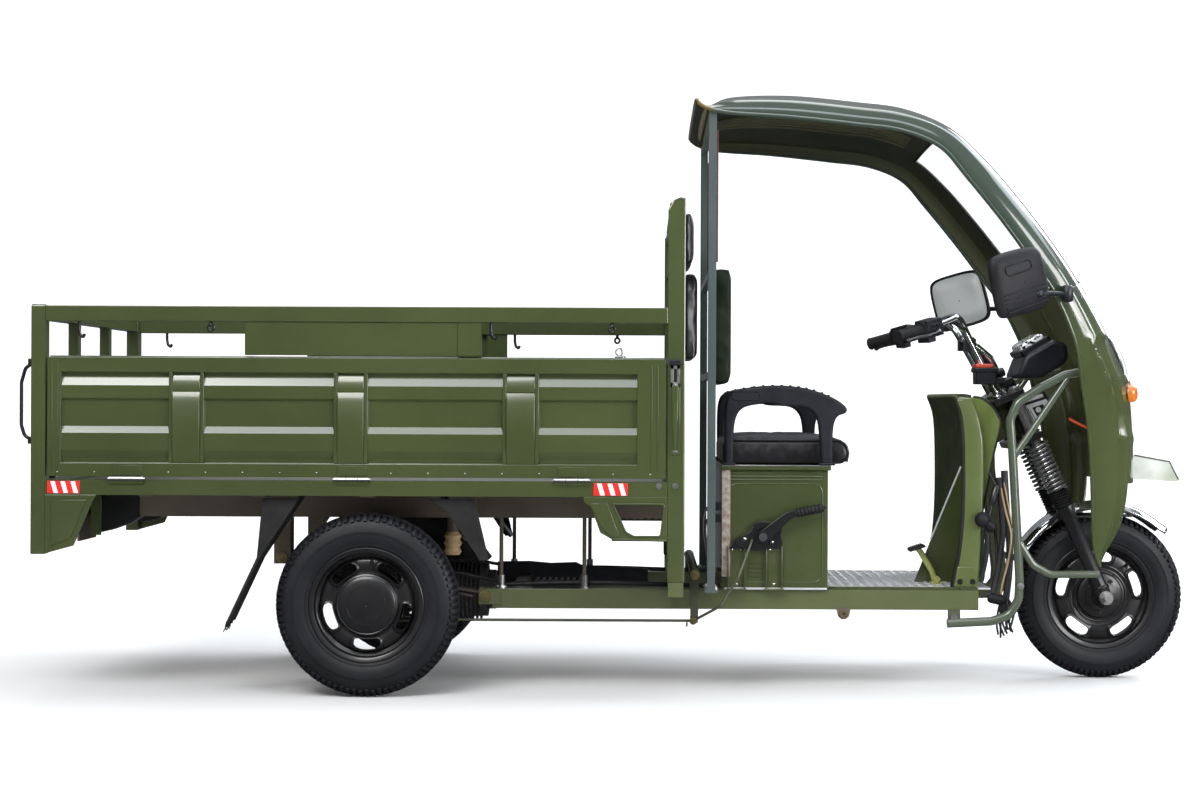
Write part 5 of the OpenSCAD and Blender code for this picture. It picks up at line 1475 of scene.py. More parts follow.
# grey bulb with its linkage and loose cable bundle by the shield foot
b = Build()
b.ball((1.048, -0.300, 0.497), 0.0235, 20, 12)
b.cyl((1.048, -0.300, 0.497), (1.072, -0.300, 0.478), 0.0150, 16)
b.ball((1.074, -0.300, 0.476), 0.0155, 16, 10)
b.done("fluid_bulb", M_GREYPL, "chassis", smooth=60)
b = Build()
b.sweep([(1.050, -0.300, 0.500), (1.050, -0.276, 0.500)], 0.0060, 10)
b.sweep([(1.064, -0.298, 0.492), (1.077, -0.292, 0.548)], 0.0042, 8)
b.sweep([(1.074, -0.290, 0.536), (1.078, -0.288, 0.548), (1.090, -0.284, 0.590), (1.092, -0.283, 0.598)], [0.0070, 0.0105, 0.0105, 0.0060], 14)
b.sweep(spline([(1.091, -0.283, 0.594), (1.082, -0.276, 0.612), (1.072, -0.268, 0.634)], 6), 0.0045, 8)
b.done("fluid_link", M_BLACK, "chassis", smooth=50)
b = Build()
# hoses and boots behind the guard tube, one bound bundle with frayed ends
b.sweep(spline([(1.060, -0.292, 0.478), (1.064, -0.288, 0.430), (1.060, -0.284, 0.380), (1.048, -0.280, 0.322)], 7), [0.0075] * 22, 10)
b.sweep(spline([(1.098, -0.276, 0.620), (1.108, -0.278, 0.520), (1.110, -0.280, 0.450), (1.098, -0.284, 0.360), (1.080, -0.288, 0.282)], 7), 0.0090, 10)
b.sweep(spline([(1.116, -0.270, 0.640), (1.122, -0.272, 0.540), (1.131, -0.276, 0.430), (1.130, -0.280, 0.350), (1.120, -0.284, 0.262)], 7), 0.0105, 10)
b.sweep(spline([(1.090, -0.272, 0.470), (1.094, -0.276, 0.400), (1.093, -0.282, 0.325), (1.078, -0.288, 0.284), (1.046, -0.290, 0.270)], 7), 0.0048, 8)
rg = random.Random(3)
for k in range(9):
    x = 1.096 + 0.0055 * k
    b.sweep(spline([(1.108 + 0.002 * k, -0.284 - 0.002 * (k % 3), 0.268), (x + 0.002, -0.286 - 0.003 * (k % 3), 0.232), (x + rg.uniform(-0.006, 0.008), -0.284 - 0.004 * (k % 2), 0.196), (x + rg.uniform(-0.010, 0.012), -0.282, 0.158 + rg.uniform(-0.010, 0.020))], 6), 0.0034, 7)
b.done("cable_bundle", M_WIRE, "chassis", smooth=60)
b = Build()
b.sweep([(1.066, -0.290, 0.268), (1.074, -0.290, 0.267), (1.104, -0.288, 0.262), (1.116, -0.287, 0.260)], [0.0100, 0.0150, 0.0165, 0.0110], 14)
b.done("cable_plug", M_GREYPL, "chassis", smooth=50)
b = Build()
b.sweep(spline([(1.104, -0.282, 0.590), (1.118, -0.286, 0.520), (1.134, -0.288, 0.451), (1.126, -0.290, 0.380), (1.107, -0.290, 0.300), (1.106, -0.288, 0.268)], 8), 0.0030, 8)
b.sweep(spline([(1.112, -0.276, 0.620), (1.122, -0.282, 0.560), (1.140, -0.284, 0.470)], 6), 0.0024, 8)
b.done("cable_tan", M_TAN, "chassis", smooth=60)
# triangular gusset from the footboard up to the shield, beyond the pedal
b = Build()
b.prism([(0.874, 0.2960), (1.000, 0.2960), (1.014, 0.420), (1.018, 0.560), (1.016, 0.648), (0.924, 0.424)], -0.1005, -0.0975)
b.done("pedal_gusset", M_OLIVE, "chassis", smooth=30, bevel=0.0008)
# painted highlight: a bright rod along the gusset's sloping edge draws the line of light on it
b = Build()
b.sweep([V((0.924, -0.0990, 0.424)), V((1.015, -0.0990, 0.646))], 0.0032, 8)
b.done("pedal_gusset_edge_highlight", M_ALU, "chassis", smooth=60)

# ------------------------------------------------------------------ cab posts, guard tubes, mirrors
M_POST = paint("post_gloss", (0.052, 0.070, 0.068), (0.082, 0.104, 0.102), 0.2, 0.9, dust=0.1)
dress("cab_posts", M_POST, 0.004, 3)
# painted reflection: a thin red strip with three clips down each post's outer front edge stands for the reddish
# reflection along the post
b = Build()
for s in (-1, 1):
    b.sweep([(0.2635, s * 0.414, 1.24), (0.2635, s * 0.414, 1.62)], 0.0030, 10)
    for z in (1.26, 1.44, 1.60):
        b.box(0.2605, 0.2655, s * 0.414 - 0.004, s * 0.414 + 0.004, z - 0.004, z + 0.004)
b.done("post_red_reflection_strip", M_POST_RED_REFLECTION, "chassis", smooth=40)
b = Build()
for s in (-1, 1):
    for x in (0.238, 0.263):
        for y in (0.312, 0.395):
            b.bolt((x, s * y, 0.300), (0, 0, 1), 0.006, 0.006)
b.done("post_bolts", M_STEEL, "chassis", smooth=30)
M_TUBE = paint("tube_gloss", (0.050, 0.066, 0.045), (0.074, 0.092, 0.064), 0.2, 0.9, dust=0.2)
TA = [(1402, 944), (1281, 922), (1212, 886), (1143, 841), (1121, 790), (1128, 700), (1150, 330), (1148, 268), (1122, 222), (1070, 204), (940, 197)]
b = Build()
for s in (-1, 1):
    b.sweep(fillet([(x / 1000, s * 0.336, z / 1000) for x, z in TA], 0.05, 6), 0.0130, 20)
    b.sweep([(1.296, s * 0.336, 0.924), (1.131, s * 0.336, 0.680)], 0.0098, 16)
    b.sweep(fillet([(1.144, s * 0.336, 0.440), (1.190, s * 0.330, 0.368), (1.240, s * 0.328, 0.340), (1.386, s * 0.312, 0.340)], 0.05, 8), 0.0110, 18)
    b.box(0.946, 0.980, s * 0.304, s * 0.326, 0.192, 0.234)
b.done("guard_tube_run", M_TUBE, "chassis", smooth=50, replaces=("guard_tubes",))
b = Build()
for s in (-1, 1):
    for p in ((1.390, 0.942), (1.151, 0.308), (0.962, 0.213)):
        b.bolt((p[0], s * (0.349 if p[0] != 0.962 else 0.326), p[1]), (0, s, 0), 0.0065, 0.006)
b.done("guard_tube_bolts", M_STEEL, "chassis", smooth=30)
MIR = [(-84, -86), (70, -94), (94, -70), (98, 60), (78, 88), (-60, 96), (-92, 78), (-98, -64)]
mp = [V((x / 1000, 0, z / 1000)) for x, z in MIR]
mo = []
for i in range(len(mp)):
    a, p, c = mp[i - 1], mp[i], mp[(i + 1) % len(mp)]
    for t in (0.0, 0.2, 0.4, 0.6, 0.8, 1.0):
        mo.append((1 - t) ** 2 * (p + (a - p) * 0.4) + 2 * t * (1 - t) * p + t * t * (p + (c - p) * 0.4))
for s, nm in ((1, "left"), (-1, "right")):
    Mm = Matrix.Translation((1.110, s * 0.541, 1.178)) @ Matrix.Rotation(math.radians(-29 * s), 4, "Z") @ Matrix.Diagonal((1, s, 1, 1)) @ Matrix.Rotation(math.radians(-17), 4, "Y")
    b = Build()
    rings = [(0.90, -0.0115), (0.93, -0.014), (0.985, -0.014), (1.0, -0.011), (1.0, -0.003), (0.98, 0.004), (0.92, 0.010), (0.78, 0.0155), (0.55, 0.019), (0.28, 0.0205), (0.02, 0.021)]
    rows = [[Mm @ V((p.x * k, y, p.z * k)) for p in mo] for k, y in rings]
    b.grid(rows, close_v=True)
    b._add(rows[0], [tuple(range(len(mo)))])
    dome = [(r[0], r[1]) for r in rings[4:]][::-1]

    def shell_at(x, z):
        return Mm @ V((x, float(np.interp(max(abs(x) / 0.096, abs(z) / 0.091), [d[0] for d in dome], [d[1] for d in dome])) + 0.0006, z))

    for k in range(5):
        z = -0.070 + 0.0125 * k
        b.sweep([shell_at(-0.076 + 0.152 * j / 20, z) for j in range(21)], 0.0028, 8)
    loop = [(-0.046, 0.030), (0.030, 0.030), (0.038, 0.036), (0.038, 0.052), (0.030, 0.058), (-0.046, 0.058), (-0.054, 0.052), (-0.054, 0.036)]
    b.sweep([shell_at(x, z) for x, z in loop], 0.0022, 8, closed=True)
    b.done("mirror_housing_" + nm, M_GREYPL, "chassis", smooth=45, weld=0.00005, replaces=("mirrors",) if s > 0 else ())
    b = Build()
    rows = [[Mm @ V((p.x * k, y, p.z * k)) for p in mo] for k, y in ((0.93, -0.0105), (0.90, -0.0128), (0.5, -0.0136), (0.02, -0.0138))]
    b.grid(rows, close_v=True)
    b.done("mirror_glass_" + nm, M_MIRROR, "chassis", smooth=60, weld=0.00005)
    b = Build()
    b.sweep(fillet([(1.166, s * 0.526, 1.146), (1.190, s * 0.508, 1.150), (1.250, s * 0.458, 1.151), (1.264, s * 0.440, 1.150)], 0.04), 0.0078, 14)
    b.sweep([(1.262, s * 0.452, z) for z in (1.128, 1.134, 1.170, 1.176)], [0.011, 0.0165, 0.0165, 0.011], 18)
    b.ball((1.166, s * 0.525, 1.146), 0.0135, 14, 8)
    b.done("mirror_arm_" + nm, M_PLASTIC, "chassis", smooth=50)
dress("plate_bracket", M_NOSE, 0.003)
dress("head_tube", M_OLIVE_DEEP, 0.002)
b = Build()
b.prism([(1.6425, 0.6655), (1.6705, 0.6115), (1.6730, 0.6130), (1.6450, 0.6670)], -0.110, 0.110)
b.done("front_plate_blank", M_WHITE, "chassis", smooth=30, bevel=0.001)
b = Build()
for s in (-1, 1):
    b.sweep([(1.534, s * 0.1195, 0.6835), (1.640, s * 0.1195, 0.6645), (1.6675, s * 0.1195, 0.6105)], 0.0026, 8)
b.sweep([(1.6675, -0.119, 0.6105), (1.6675, 0.119, 0.6105)], 0.0026, 8)
b.sweep([(1.640, -0.119, 0.6650), (1.640, 0.119, 0.6650)], 0.0022, 8)
b.done("plate_tray_edging", M_OLIVE_DEEP, "chassis", smooth=60)


# ------------------------------------------------------------------ load bed and chassis: CAD nodes kept, edges broken
dress("side_panel_left side_panel_right tailgate", M_OLIVE, 0.0035, 3)
dress("bed_sills guard_rails headboard bed_posts side_brackets", M_OLIVE, 0.003)
dress("chassis_rails", M_RAIL, 0.003)
dress("bed_floor", M_OLIVE_DEEP, 0.002)
dress("bed_subframe bed_crossmembers rear_bumper", M_UNDER, 0.003)
dress("drive_motor", M_CAST, 0.006, 3)
dress("mud_flaps", M_RUBBER, 0.0015)


def checker_floor():
    """Ribs pressed into the floor sheet, running along the bed."""
    b = Build()
    for k in range(15):
        y = -0.455 + 0.065 * k
        b.prism([(y - 0.012, 0.600), (y - 0.007, 0.6042), (y + 0.007, 0.6042), (y + 0.012, 0.600)], -1.60, 0.112, axis="x")
    b.done("bed_floor_ribs", M_OLIVE_DEEP, "chassis", smooth=30, bevel=0.001)


checker_floor()

# reflectors: red strip with three slanted white bars, on both sill ends and the tail
def reflector(name, x0, x1, z0, z1, y, s, axis="y"):
    d = 0.0022 * s
    b = Build()
    pt = lambda x, z: (x, z)
    b.prism([(x0, z0), (x1, z0), (x1, z1), (x0, z1)], y, y + d) if axis == "y" else b.prism([(x0, z0), (x1, z0), (x1, z1), (x0, z1)], y, y + d, axis="x")
    b.done(name, M_REDREF, "chassis", smooth=30, bevel=0.0006)
    b = Build()
    w = x1 - x0
    for k in range(3):
        a = x0 + w * (0.10 + 0.31 * k)
        bars = [(a + w * 0.10, z0 + 0.001), (a + w * 0.235, z0 + 0.001), (a + w * 0.135, z1 - 0.001), (a, z1 - 0.001)]
        b.prism(bars, y + d * 0.9, y + d * 1.25, axis=axis)
    b.done(name + "_bars", M_WHITE, "chassis", smooth=30)


for s, nm in ((-1, "right"), (1, "left")):
    reflector("reflector_rear_" + nm, -1.617, -1.526, 0.574, 0.609, s * 0.550, s)
    reflector("reflector_front_" + nm, -0.085, 0.011, 0.574, 0.609, s * 0.550, s)
for y, nm in ((-0.42, "right"), (0.42, "left")):
    reflector("reflector_tail_" + nm, y - 0.05, y + 0.05, 0.574, 0.609, -1.664, -1, axis="x")

# side furniture that belongs to the fixed bed
for s, nm in ((-1, "right"), (1, "left")):
    Y = s * 0.550
    b = Build()
    # two bolts by the front end of the sill
    for x in (0.098, 0.144):
        b.bolt((x, Y, 0.602), (0, s, 0), 0.0058, 0.004)
    b.done("bed_bolts_" + nm, M_STEEL, "chassis", smooth=35)
    # hooks under the guard rail, bent rod
    b = Build()
    for x in (-1.535, -0.376):
        b.sweep(fillet([(x, s * 0.530, 1.066), (x, s * 0.532, 1.036), (x + 0.003, s * 0.532, 1.020), (x + 0.012, s * 0.532, 1.012), (x + 0.016, s * 0.532, 1.022)], 0.006, 5), 0.0046, 8)
    for x in (-1.163, -0.035):
        b.sweep([V((x + 0.0080 * cos(2 * pi * k / 20), s * 0.538, 1.0405 + 0.0085 * sin(2 * pi * k / 20))) for k in range(20)], 0.0036, 8, closed=True)
        b.cyl((x, s * 0.538, 1.0485), (x, s * 0.534, 1.068), 0.0050, 10)
    b.done("rope_hooks_" + nm, M_BLACK, "chassis", smooth=50)
    # tube end caps and weld seams at the posts
    b = Build()
    b.box(-1.6635, -1.6265, s * 0.5115, s * 0.5485, 1.1005, 1.1045)
    for z in (1.060, 1.100):
        b.sweep([(-1.6238, s * 0.512, z), (-1.6238, s * 0.548, z)], 0.0028, 7)
    for z in (0.575, 0.609):
        b.sweep([(-1.6238, s * 0.512, z), (-1.6238, s * 0.548, z)], 0.0028, 7)
    b.done("post_caps_" + nm, M_OLIVE, "chassis", smooth=40, bevel=0.0015)
    # bracket pressing: flange round the opening and a raised rib
    b = Build()
    ring = [V((x, s * 0.5505, z)) for x, z in ((-0.031, 0.5505), (0.006, 0.4715), (0.028, 0.4595), (0.104, 0.4595), (0.1145, 0.5505))]
    b.sweep(fillet(ring + [ring[0]], 0.010, 4), 0.0032, 8)
    b.prism([(-0.094, 0.552), (-0.060, 0.482), (-0.034, 0.458), (-0.010, 0.458), (-0.046, 0.552)], s * 0.550, s * 0.5528)
    b.sweep([(-0.030, s * 0.549, 0.4525), (0.120, s * 0.549, 0.4485)], 0.0036, 8)
    b.prism([(-1.606, 0.556), (-1.506, 0.556), (-1.552, 0.448), (-1.606, 0.426)], s * 0.5495, s * 0.5528)
    b.done("bracket_pressing_" + nm, M_OLIVE, "chassis", smooth=30, bevel=0.0014)
    # step tread on the bracket shelf
    b = Build()
    for k in range(6):
        b.box(-0.028 + k * 0.024, -0.018 + k * 0.024, s * 0.440, s * 0.540, 0.4518, 0.4545)
    b.done("step_tread_" + nm, M_ALU, "chassis", smooth=30, bevel=0.0008)
    # front latch: black cap, silver plate with a slot, long tapering lever
    b = Build()
    b.box(0.129, 0.157, s * 0.5500, s * 0.5530, 0.690, 0.882)
    b.prism([(0.134, 0.884), (0.152, 0.884), (0.150, 0.780), (0.147, 0.704), (0.139, 0.704), (0.136, 0.780)], s * 0.5545, s * 0.5600)
    b.done("front_latch_lever_" + nm, M_OLIVE, "chassis", smooth=30, bevel=0.0016, replaces=("bed_latches",) if s < 0 else ())
    b = Build()
    for x0, x1, z0, z1 in ((0.130, 0.1385, 0.878, 0.942), (0.1475, 0.156, 0.878, 0.942), (0.130, 0.156, 0.930, 0.942), (0.130, 0.156, 0.878, 0.892)):
        b.box(x0, x1, s * 0.5530, s * 0.5575, z0, z1)
    b.bolt((0.143, s * 0.5575, 0.885), (0, s, 0), 0.0052, 0.004)
    b.bolt((0.143, s * 0.5530, 0.697), (0, s, 0), 0.0046, 0.003)
    b.done("front_latch_loop_" + nm, M_STEEL, "chassis", smooth=35, bevel=0.0010)
    b = Build()
    b.box(0.127, 0.159, s * 0.5490, s * 0.5610, 0.940, 0.956)
    b.box(0.1395, 0.1465, s * 0.5500, s * 0.5545, 0.892, 0.930)
    b.done("front_latch_cap_" + nm, M_PLASTIC, "chassis", smooth=40, bevel=0.004, seg=3)
    # rear latch: bent lever on the post with pivots
    b = Build()
    yl = s * 0.529
    b.sweep(fillet([(-1.665, yl, 0.940), (-1.686, yl, 0.925), (-1.697, yl, 0.885), (-1.697, yl, 0.765), (-1.688, yl, 0.735), (-1.665, yl, 0.722)], 0.02, 6), 0.0052, 12)
    b.box(-1.676, -1.663, yl - 0.012, yl + 0.012, 0.712, 0.732)
    b.box(-1.676, -1.663, yl - 0.012, yl + 0.012, 0.930, 0.952)
    b.done("rear_latch_" + nm, M_BLACK, "chassis", smooth=40, bevel=0.001)
    # hinge barrels: three sleeves on a pin
    b = Build()
    for x in (-1.394, -0.763, -0.146):
        for a, c in ((-0.048, -0.0175), (-0.0160, 0.0160), (0.0175, 0.048)):
            b.cyl((x + a, s * 0.556, 0.616), (x + c, s * 0.556, 0.616), 0.0067, 18)
        b.cyl((x - 0.052, s * 0.556, 0.616), (x + 0.052, s * 0.556, 0.616), 0.0042, 12)
    b.done("hinge_barrels_" + nm, M_STEEL, "chassis", smooth=40)
    # gusset ahead of the wheel
    b = Build()
    b.prism([(-0.553, 0.562), (-0.42, 0.562), (-0.379, 0.39), (-0.405, 0.388), (-0.50, 0.53)], s * 0.5255, s * 0.5290)
    b.done("arch_gusset_" + nm, M_RUBBER, "chassis", smooth=30, bevel=0.0012)

# drop sides: hinge leaves, rivets, hold-down hooks move with the panels
for s, nm in ((-1, "right"), (1, "left")):
    body = "drop_side_" + nm
    Y = s * 0.550
    b = Build()
    for x in (-1.394, -0.763, -0.146):
        b.box(x - 0.040, x + 0.040, Y, Y + s * 0.0022, 0.6265, 0.654)
    b.done("panel_hinge_leaf_" + nm, M_OLIVE, body, smooth=30, bevel=0.0007)
    b = Build()
    for k in range(17):
        b.ball((-1.590 + 0.104 * k, Y, 0.634), 0.0026, 8, 6, scale=(1, 0.6, 1))
    b.done("panel_rivets_" + nm, M_STEEL, body, smooth=40)
    # sloping cheeks of the stakes
    b = Build()
    for x0, x1 in ((-1.275, -1.183), (-0.812, -0.723), (-0.338, -0.243)):
        for e, d in ((x0, -0.008), (x1, 0.008)):
            b.prism([(e, Y - s * 0.0021), (e + d, Y - s * 0.0142), (e, Y - s * 0.0142)], 0.672, 0.853, axis="z")
    b.done("stake_cheeks_" + nm, M_OLIVE, body, smooth=30, bevel=0.0008)
    # stake facing: a fold low down, a sloping band, an overhanging head with a bevelled cap
    b = Build()
    st = [(0.003, 0.6605), (-0.0045, 0.716), (-0.0060, 0.832), (0.0034, 0.861), (0.0012, 0.8622), (0.0012, 0.893), (0.0095, 0.909), (0.0150, 0.909), (0.0150, 0.6605)]
    for x0, x1 in ((-1.275, -1.183), (-0.812, -0.723), (-0.338, -0.243)):
        b.prism([(Y - s * d, z) for d, z in st], x0 + 0.008, x1 - 0.008, axis="x")
    b.done("stake_facing_" + nm, M_OLIVE, body, smooth=30, bevel=0.0012)
    b = Build()
    for x0, x1 in ((-1.275, -1.183), (-0.812, -0.723), (-0.338, -0.243)):
        for xa, xb in ((x0 - 0.003, x0 + 0.007), (x1 - 0.007, x1 + 0.003)):
            b.box(xa, xb, Y - s * 0.0008, Y - s * 0.015, 0.6610, 0.9145)
    b.done("stake_flanges_" + nm, M_OLIVE, body, smooth=30, bevel=0.0012)
    b = Build()
    b.box(-0.027, -0.003, s * 0.524, s * 0.538, 0.957, 0.966)
    b.sweep([V((-0.015 + 0.009 * cos(2 * pi * k / 20), s * 0.531, 0.978 + 0.0105 * sin(2 * pi * k / 20))) for k in range(20)], 0.0030, 8, closed=True)
    b.done("tie_ring_" + nm, M_STEEL, body, smooth=50, bevel=0.001)
    # rolled bead on the top rail and fold lines of the frame
    b = Build()
    b.sweep([(-1.615, s * 0.533, 0.957), (0.113, s * 0.533, 0.957)], 0.0045, 10)
    for x in (-1.606, -1.590, 0.077, 0.094):
        b.box(x - 0.0022, x + 0.0022, Y, Y + s * 0.0018, 0.640, 0.940)
    b.done("panel_bead_" + nm, M_OLIVE, body, smooth=40, bevel=0.0006)
b = Build()
for y in (-0.36, 0.0, 0.36):
    b.box(-1.6622, -1.6598, y - 0.040, y + 0.040, 0.6265, 0.654)
b.done("tailgate_hinge_leaf", M_OLIVE, "tailgate", smooth=30, bevel=0.0007)
b = Build()
for k in range(9):
    b.ball((-1.660, -0.416 + 0.104 * k, 0.634), 0.0026, 8, 6, scale=(0.6, 1, 1))
b.done("tailgate_rivets", M_STEEL, "tailgate", smooth=40)

# tail lights: red and amber lens blocks in a black frame
b = Build()
for s in (-1, 1):
    b.box(-1.6640, -1.6522, s * 0.212, s * 0.330, 0.448, 0.484)
b.done("tail_light_red", M_REDLENS, "chassis", smooth=30, bevel=0.003, seg=3, replaces=("tail_lights",))
b = Build()
for s in (-1, 1):
    b.box(-1.6640, -1.6522, s * 0.334, s * 0.398, 0.448, 0.484)
b.done("tail_light_amber", M_AMBER, "chassis", smooth=30, bevel=0.003, seg=3)
b = Build()
for s in (-1, 1):
    b.box(-1.656, -1.6521, s * 0.206, s * 0.404, 0.4425, 0.4895)
b.done("tail_light_base", M_PLASTIC, "chassis", smooth=30, bevel=0.002)
b = Build()
b.box(-1.6605, -1.6582, -0.092, 0.092, 0.412, 0.512)
b.done("rear_plate_blank", M_WHITE, "chassis", smooth=30, bevel=0.0008)

# ------------------------------------------------------------------ springs, axle, under-bed fittings
M_SPRING = paint("spring_grey", (0.020, 0.019, 0.018), (0.045, 0.041, 0.036), 0.55, 0.0, dust=0.5)
LEAVES = [[(-406, 277), (-560, 300), (-726, 307), (-880, 336), (-998, 386)], [(-440, 268), (-560, 290), (-726, 298), (-880, 326), (-975, 362)],
          [(-500, 269), (-600, 284), (-726, 290), (-850, 312), (-930, 340)], [(-560, 268), (-640, 278), (-726, 282), (-820, 297), (-880, 312)]]
b = Build()
for s in (-1, 1):
    for k, leaf in enumerate(LEAVES):
        top = spline([V((x / 1000, 0, z / 1000)) for x, z in leaf], 8)
        poly = [(p.x, p.z + 0.0036) for p in top] + [(p.x, p.z - 0.0034) for p in top[::-1]]
        b.prism(poly, s * 0.281, s * 0.319)
    for x, z in ((-0.406, 0.271), (-0.996, 0.380)):
        b.lathe([(0.0175, -0.019), (0.0175, 0.019), (0.008, 0.019), (0.008, -0.019)], (x, s * 0.300, z), n=28)
b.done("leaf_pack", M_SPRING, "chassis", smooth=35, bevel=0.0012, replaces=("leaf_springs",))
b = Build()
for s in (-1, 1):
    for x in (-0.780, -0.672):
        b.sweep(fillet([(x, s * 0.270, 0.245), (x, s * 0.270, 0.328), (x, s * 0.330, 0.328), (x, s * 0.330, 0.245)], 0.022, 6), 0.0062, 10)
        for yy in (0.270, 0.330):
            b.cyl((x, s * yy, 0.243), (x, s * yy, 0.255), 0.0105, 6)
    b.box(-0.795, -0.657, s * 0.262, s * 0.338, 0.256, 0.266)
    b.box(-0.786, -0.666, s * 0.276, s * 0.324, 0.311, 0.322)
    for x0, x1 in ((-0.620, -0.604), (-0.870, -0.854)):
        z = 0.296 if x0 > -0.7 else 0.322
        b.box(x0, x1, s * 0.276, s * 0.324, z - 0.018, z + 0.016)
b.done("spring_clamps", M_BLACK, "chassis", smooth=35, bevel=0.0012)
b = Build()
for s in (-1, 1):
    for x, z in ((-0.406, 0.271), (-0.996, 0.380)):
        for e in (-1, 1):
            b.bolt((x, s * 0.300 + e * 0.0335, z), (0, e, 0), 0.0105, 0.009)
b.done("spring_eye_bolts", M_BRASS, "chassis", smooth=30)
dress("rear_axle", M_BLACK, 0.003)
b = Build()
for s in (-1, 1):
    for k in range(8):
        a = 2 * pi * k / 8
        b.bolt((-0.726 + 0.082 * cos(a), s * 0.3915, 0.260 + 0.082 * sin(a)), (0, -s, 0), 0.006, 0.005)
for k in range(12):
    a = 2 * pi * k / 12
    for e in (-1, 1):
        b.bolt((-0.726 + 0.086 * cos(a), e * 0.070, 0.260 + 0.086 * sin(a)), (0, e, 0), 0.006, 0.005)
b.done("axle_bolts", M_STEEL, "chassis", smooth=30)
b = Build()
for k in range(14):
    x = -0.612 + 0.013 * k
    b.lathe([(0.083, x), (0.090, x), (0.090, x + 0.005), (0.083, x + 0.005)], (0, 0, 0.260), axis="x", n=48)
b.done("motor_fins", M_CAST, "chassis", smooth=30)
# rubber bump stops and hanging cylinders
b = Build()
for s in (-1, 1):
    b.lathe([(0.004, 0.391), (0.020, 0.388), (0.026, 0.398), (0.020, 0.410), (0.027, 0.421), (0.021, 0.433), (0.026, 0.444), (0.016, 0.456), (0.004, 0.456)], (-0.502, s * 0.300, 0), axis="z", n=28)
b.done("bump_stops", M_TAN, "chassis", smooth=50)
b = Build()
for s in (-1, 1):
    for x in (-0.360, -0.117):
        b.bolt((x, s * 0.300, 0.291), (0, 0, 1), 0.010, 0.010)
        b.cyl((x, s * 0.300, 0.300), (x, s * 0.300, 0.330), 0.0105, 14)
b.done("strut_nuts", M_STEEL, "chassis", smooth=30)
# controller box and harness along the near rail
b = Build()
b.box(-0.270, -0.100, -0.272, -0.130, 0.236, 0.300)
for k in range(9):
    b.box(-0.262 + 0.018 * k, -0.256 + 0.018 * k, -0.272, -0.130, 0.300, 0.309)
b.done("controller_box", M_PLASTIC, "chassis", smooth=30, bevel=0.0015)
# black board inside the far rail: its long low part is painted shade for the shaded inner face of that rail, its uneven
# top a black box on that side
b = Build()
b.prism([(-0.41, 0.250), (0.07, 0.250), (0.07, 0.304), (0.02, 0.308), (-0.06, 0.306), (-0.13, 0.310), (-0.16, 0.324), (-0.24, 0.321), (-0.31, 0.327), (-0.41, 0.325)], 0.246, 0.264)
b.done("far_rail_board_shade", M_PLASTIC, "chassis", smooth=30, bevel=0.002)
b = Build()
for s in (-1, 1):
    b.sweep(spline([(-0.35, s * 0.272, 0.300), (-0.10, s * 0.270, 0.306), (0.15, s * 0.272, 0.300), (0.28, s * 0.274, 0.300)], 8), 0.007, 10)
    b.sweep(spline([(-0.640, s * 0.22, 0.300), (-0.52, s * 0.24, 0.330), (-0.42, s * 0.262, 0.318), (-0.35, s * 0.270, 0.302)], 8), 0.0055, 10)
b.done("rail_harness", M_WIRE, "chassis", smooth=60)
# dark box section under the tail of the bed, with an olive strap on it
for s, nm in ((-1, "right"), (1, "left")):
    b = Build()
    b.prism([(-1.553, 0.592), (-1.408, 0.592), (-1.408, 0.500), (-1.440, 0.478), (-1.500, 0.456), (-1.553, 0.444)], s * 0.250, s * 0.318)
    b.done("tail_box_" + nm, M_BLACK, "chassis", smooth=30, bevel=0.004, seg=2)
    b = Build()
    b.box(-1.556, -1.526, s * 0.3175, s * 0.3215, 0.442, 0.592)
    b.done("tail_strap_" + nm, M_OLIVE, "chassis", smooth=30, bevel=0.001)
# mud flap hardware and a frayed lower edge
b = Build()
for s in (-1, 1):
    rg = random.Random(17)
    for k in range(22):
        y = s * (0.4335 + 0.0040 * k)
        h = 0.004 + 0.030 * rg.random() ** 2
        q = rg.uniform(-0.006, 0.006)
        b.sweep([(-1.1155, y, 0.2150), (-1.1175 - h * 0.30, y + q * 0.4, 0.2125 - h * 0.55), (-1.1185 - h * 0.42 + q, y + q, 0.2110 - h)], [0.0032, 0.0026, 0.0012], 6)
b.done("flap_fringe", M_RUBBER, "chassis", smooth=30)
b = Build()
for s in (-1, 1):
    for f in (0.1, 0.5, 0.9):
        y = s * (0.432 + 0.088 * f)
        b.bolt((-0.931, y, 0.548), (-0.83, 0, 0.55), 0.006, 0.005)
        b.bolt((-0.4985, y, 0.548), (0.8, 0, 0.58), 0.006, 0.005)
b.done("flap_bolts", M_STEEL, "chassis", smooth=30)


# ------------------------------------------------------------------ floor, light, camera
def floor_mat():
    m, nt, b = new_mat("studio_floor")
    vec = coords(nt)
    nt.links.new(ramp(nt, noise(nt, vec, 0.7, 3), [(0.2, (0.84, 0.84, 0.84)), (0.8, (0.89, 0.89, 0.89))]), b.inputs["Base Color"])
    # the cove behind glows a little, so that the backdrop comes out near white
    sep = node(nt, "ShaderNodeSeparateXYZ")
    nt.links.new(vec, sep.inputs[0])
    mr = node(nt, "ShaderNodeMapRange")
    mr.inputs["From Min"].default_value, mr.inputs["From Max"].default_value = 2.2, 7.0
    mr.inputs["To Min"].default_value, mr.inputs["To Max"].default_value = 0.0, 0.62
    nt.links.new(sep.outputs["Y"], mr.inputs["Value"])
    nt.links.new(mr.outputs[0], b.inputs["Emission Strength"])
    b.inputs["Emission Color"].default_value = (1, 1, 1, 1)
    nt.links.new(math_node(nt, "ADD", math_node(nt, "MULTIPLY", noise(nt, vec, 30, 3), 0.1), 0.55), b.inputs["Roughness"])
    return m


